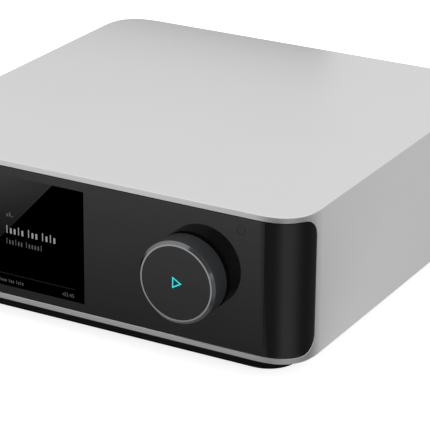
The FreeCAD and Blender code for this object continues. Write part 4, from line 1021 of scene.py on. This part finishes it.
def makeRow(name, row, values):
    middle = row["start"] + row["width"] / 2
    low, tall = (makeMark("plate", middle - wide / 2, middle + wide / 2, row["foot"], row["foot"] + high,
                          values["cornerShare"] * wide, values)
                 for wide, high in ((row["width"], row["low"]), (row["slim"], row["tall"])))
    plates = []
    step = 0
    for group, count in enumerate(row["groups"]):
        for number in range(count):
            isTall = number == 0 or (2 * number + group) % values["tallEvery"] == 1
            shift = (row["pitch"] * step * mm, 0, 0)
            plates.append(copyPiece(tall if isTall else low, shift) if step else tall)
            step += 1
        step += values["groupGap"]
    pickOnly(low)
    bpy.ops.object.delete()
    dressPiece(joinPieces(name, plates), "chassis", row["finish"])


def makeDisplay(values):
    pane = addPlate("displayPane", *litArea(values), *glassPlanes(values["pane"]), values["paneCorner"])
    dressPiece(pane, "chassis", "screen")
    for name, row in rowValues.items():
        makeRow(name, row, values)
    badge = values["badge"]
    bars = []
    for number, top in enumerate(badge["tops"]):
        left = badge["start"] + number * badge["pitch"]
        bars.append(makeMark("badgeBar", left, left + badge["width"], badge["foot"], top, badge["corner"],
                             values))
    dressPiece(joinPieces("badgeBars", bars), "chassis", "dimMarks")
    progress = makeMark("progressLine", *values["progress"], values["progressCorner"], values)
    dressPiece(progress, "chassis", "faintMarks")
    bpy.ops.object.select_all(action="DESELECT")
    litLeft, _, litFoot, _ = litArea(values)
    across, above = values["clockPlace"]
    bpy.ops.object.text_add(location=((litLeft + across) * mm, glassPlanes(values["marks"])[0] * mm,
                                      (litFoot + above) * mm), rotation=(math.radians(90), 0, 0))
    clock = bpy.context.active_object
    clock.name = "clockDigits"
    clock.data.body = values["clock"]
    clock.data.size = values["clockSize"] * mm
    clock.data.extrude = values["clockProud"] * mm
    bpy.ops.object.convert(target="MESH")
    bpy.ops.object.transform_apply(location=True, rotation=True, scale=True)
    dressPiece(bpy.context.active_object, "chassis", "dimMarks")


# Receiver's window: a thin lens that nearly fills its hole
windowValues = {
    "lensRadius": 1.85,         # of the receiver's own round front, which reaches its right side
    "narrower": 0.02,
    "sunk": 0.005,              # behind the glass's front
    "gap": 0.02,                # to the receiver
    "edge": 0.03, "edgeSteps": 3, "sides": 64,
    "flatWithin": 1, "smoothWithin": 12,        # degrees
}


def makeReceiverWindow(values):
    bpy.ops.object.select_all(action="DESELECT")
    low, high, middle = boxInMm("ir_receiver")
    front, back = glassPlanes([values["sunk"]])[0], low[1] - values["gap"]
    bpy.ops.mesh.primitive_cylinder_add(vertices=values["sides"], depth=(back - front) * mm,
                                        radius=(values["lensRadius"] - values["narrower"]) * mm,
                                        location=((high[0] - values["lensRadius"]) * mm,
                                                  (front + back) / 2 * mm, middle[2] * mm),
                                        rotation=(math.radians(90), 0, 0))
    window = bpy.context.active_object
    window.name = "receiverWindow"
    bpy.ops.object.transform_apply(location=True, rotation=True, scale=True)
    bpy.ops.object.mode_set(mode="EDIT")
    bpy.ops.mesh.select_all(action="SELECT")
    bpy.ops.mesh.dissolve_limited(angle_limit=math.radians(values["flatWithin"]))
    bpy.ops.mesh.bevel(offset=values["edge"] * mm, segments=values["edgeSteps"], affect="EDGES")
    closeMesh()
    pickOnly(window)
    bpy.ops.object.shade_smooth_by_angle(angle=math.radians(values["smoothWithin"]))
    dressPiece(window, "chassis", "receiverLens")


makeDisplay(displayValues)
makeReceiverWindow(windowValues)
print("display and receiver made")


# Rear marks: plus over the red posts, minus over the black ones, raised a hair on the panel
rearMarkValues = {
    "above": 3.2,               # each mark's middle, over its post's top
    "proud": 0.03,
    "sunk": 0.10,
    "size": 3.2,
    "stroke": 0.5,
    "corner": 0.1,
}


def makeRearMarks(values):
    half, stroke = values["size"] / 2, values["stroke"] / 2
    face = boxInMm("rear_panel")[1][1]
    near, far = face - values["sunk"], face + values["proud"]
    strokes = []
    for post in ("post_cap_1", "post_cap_2", "post_cap_3", "post_cap_4"):
        _, high, middle = boxInMm(post)
        x, level = middle[0], high[2] + values["above"]
        bars = [(x - half, x + half, level - stroke, level + stroke)]
        if post in finishNodes["redMoulding"]:
            bars += [(x - stroke, x + stroke, level + stroke, level + half),
                     (x - stroke, x + stroke, level - half, level - stroke)]
        strokes += [addPlate("stroke", *bar, near, far, values["corner"]) for bar in bars]
    dressPiece(joinPieces("postMarks", strokes), "chassis", "printWhite")


makeRearMarks(rearMarkValues)


# Contact springs in the network socket: one is bent, the rest are copies
springValues = {
    "count": 8, "pitch": 1.02, "width": 0.42, "thick": 0.24,
    "inside": 3.2,              # their rear ends, from the socket's mouth
    "under": 2.15,              # and from its top
    "bends": [(-2.2, -0.15), (-3.2, -0.9), (-3.0, -1.6), (-1.2, -0.2)],
}


def makeSprings(values):
    _, high, middle = boxInMm("ethernet_socket")
    first = middle[0] - values["pitch"] * (values["count"] - 1) / 2
    spring = startPlane("networkSprings", (first, high[1] - values["inside"], high[2] - values["under"]),
                        (values["width"], values["thick"]))
    for forward, up in values["bends"]:
        bpy.ops.mesh.extrude_region_move(TRANSFORM_OT_translate={"value": (0, forward * mm, up * mm)})
    closeMesh()
    array = spring.modifiers.new("row", "ARRAY")
    array.count = values["count"]
    array.use_relative_offset = False
    array.use_constant_offset = True
    array.constant_offset_displace = (values["pitch"] * mm, 0, 0)
    bpy.ops.object.modifier_apply(modifier="row")
    dressPiece(spring, "chassis", "giltPlate")


makeSprings(springValues)
print("rear details made")
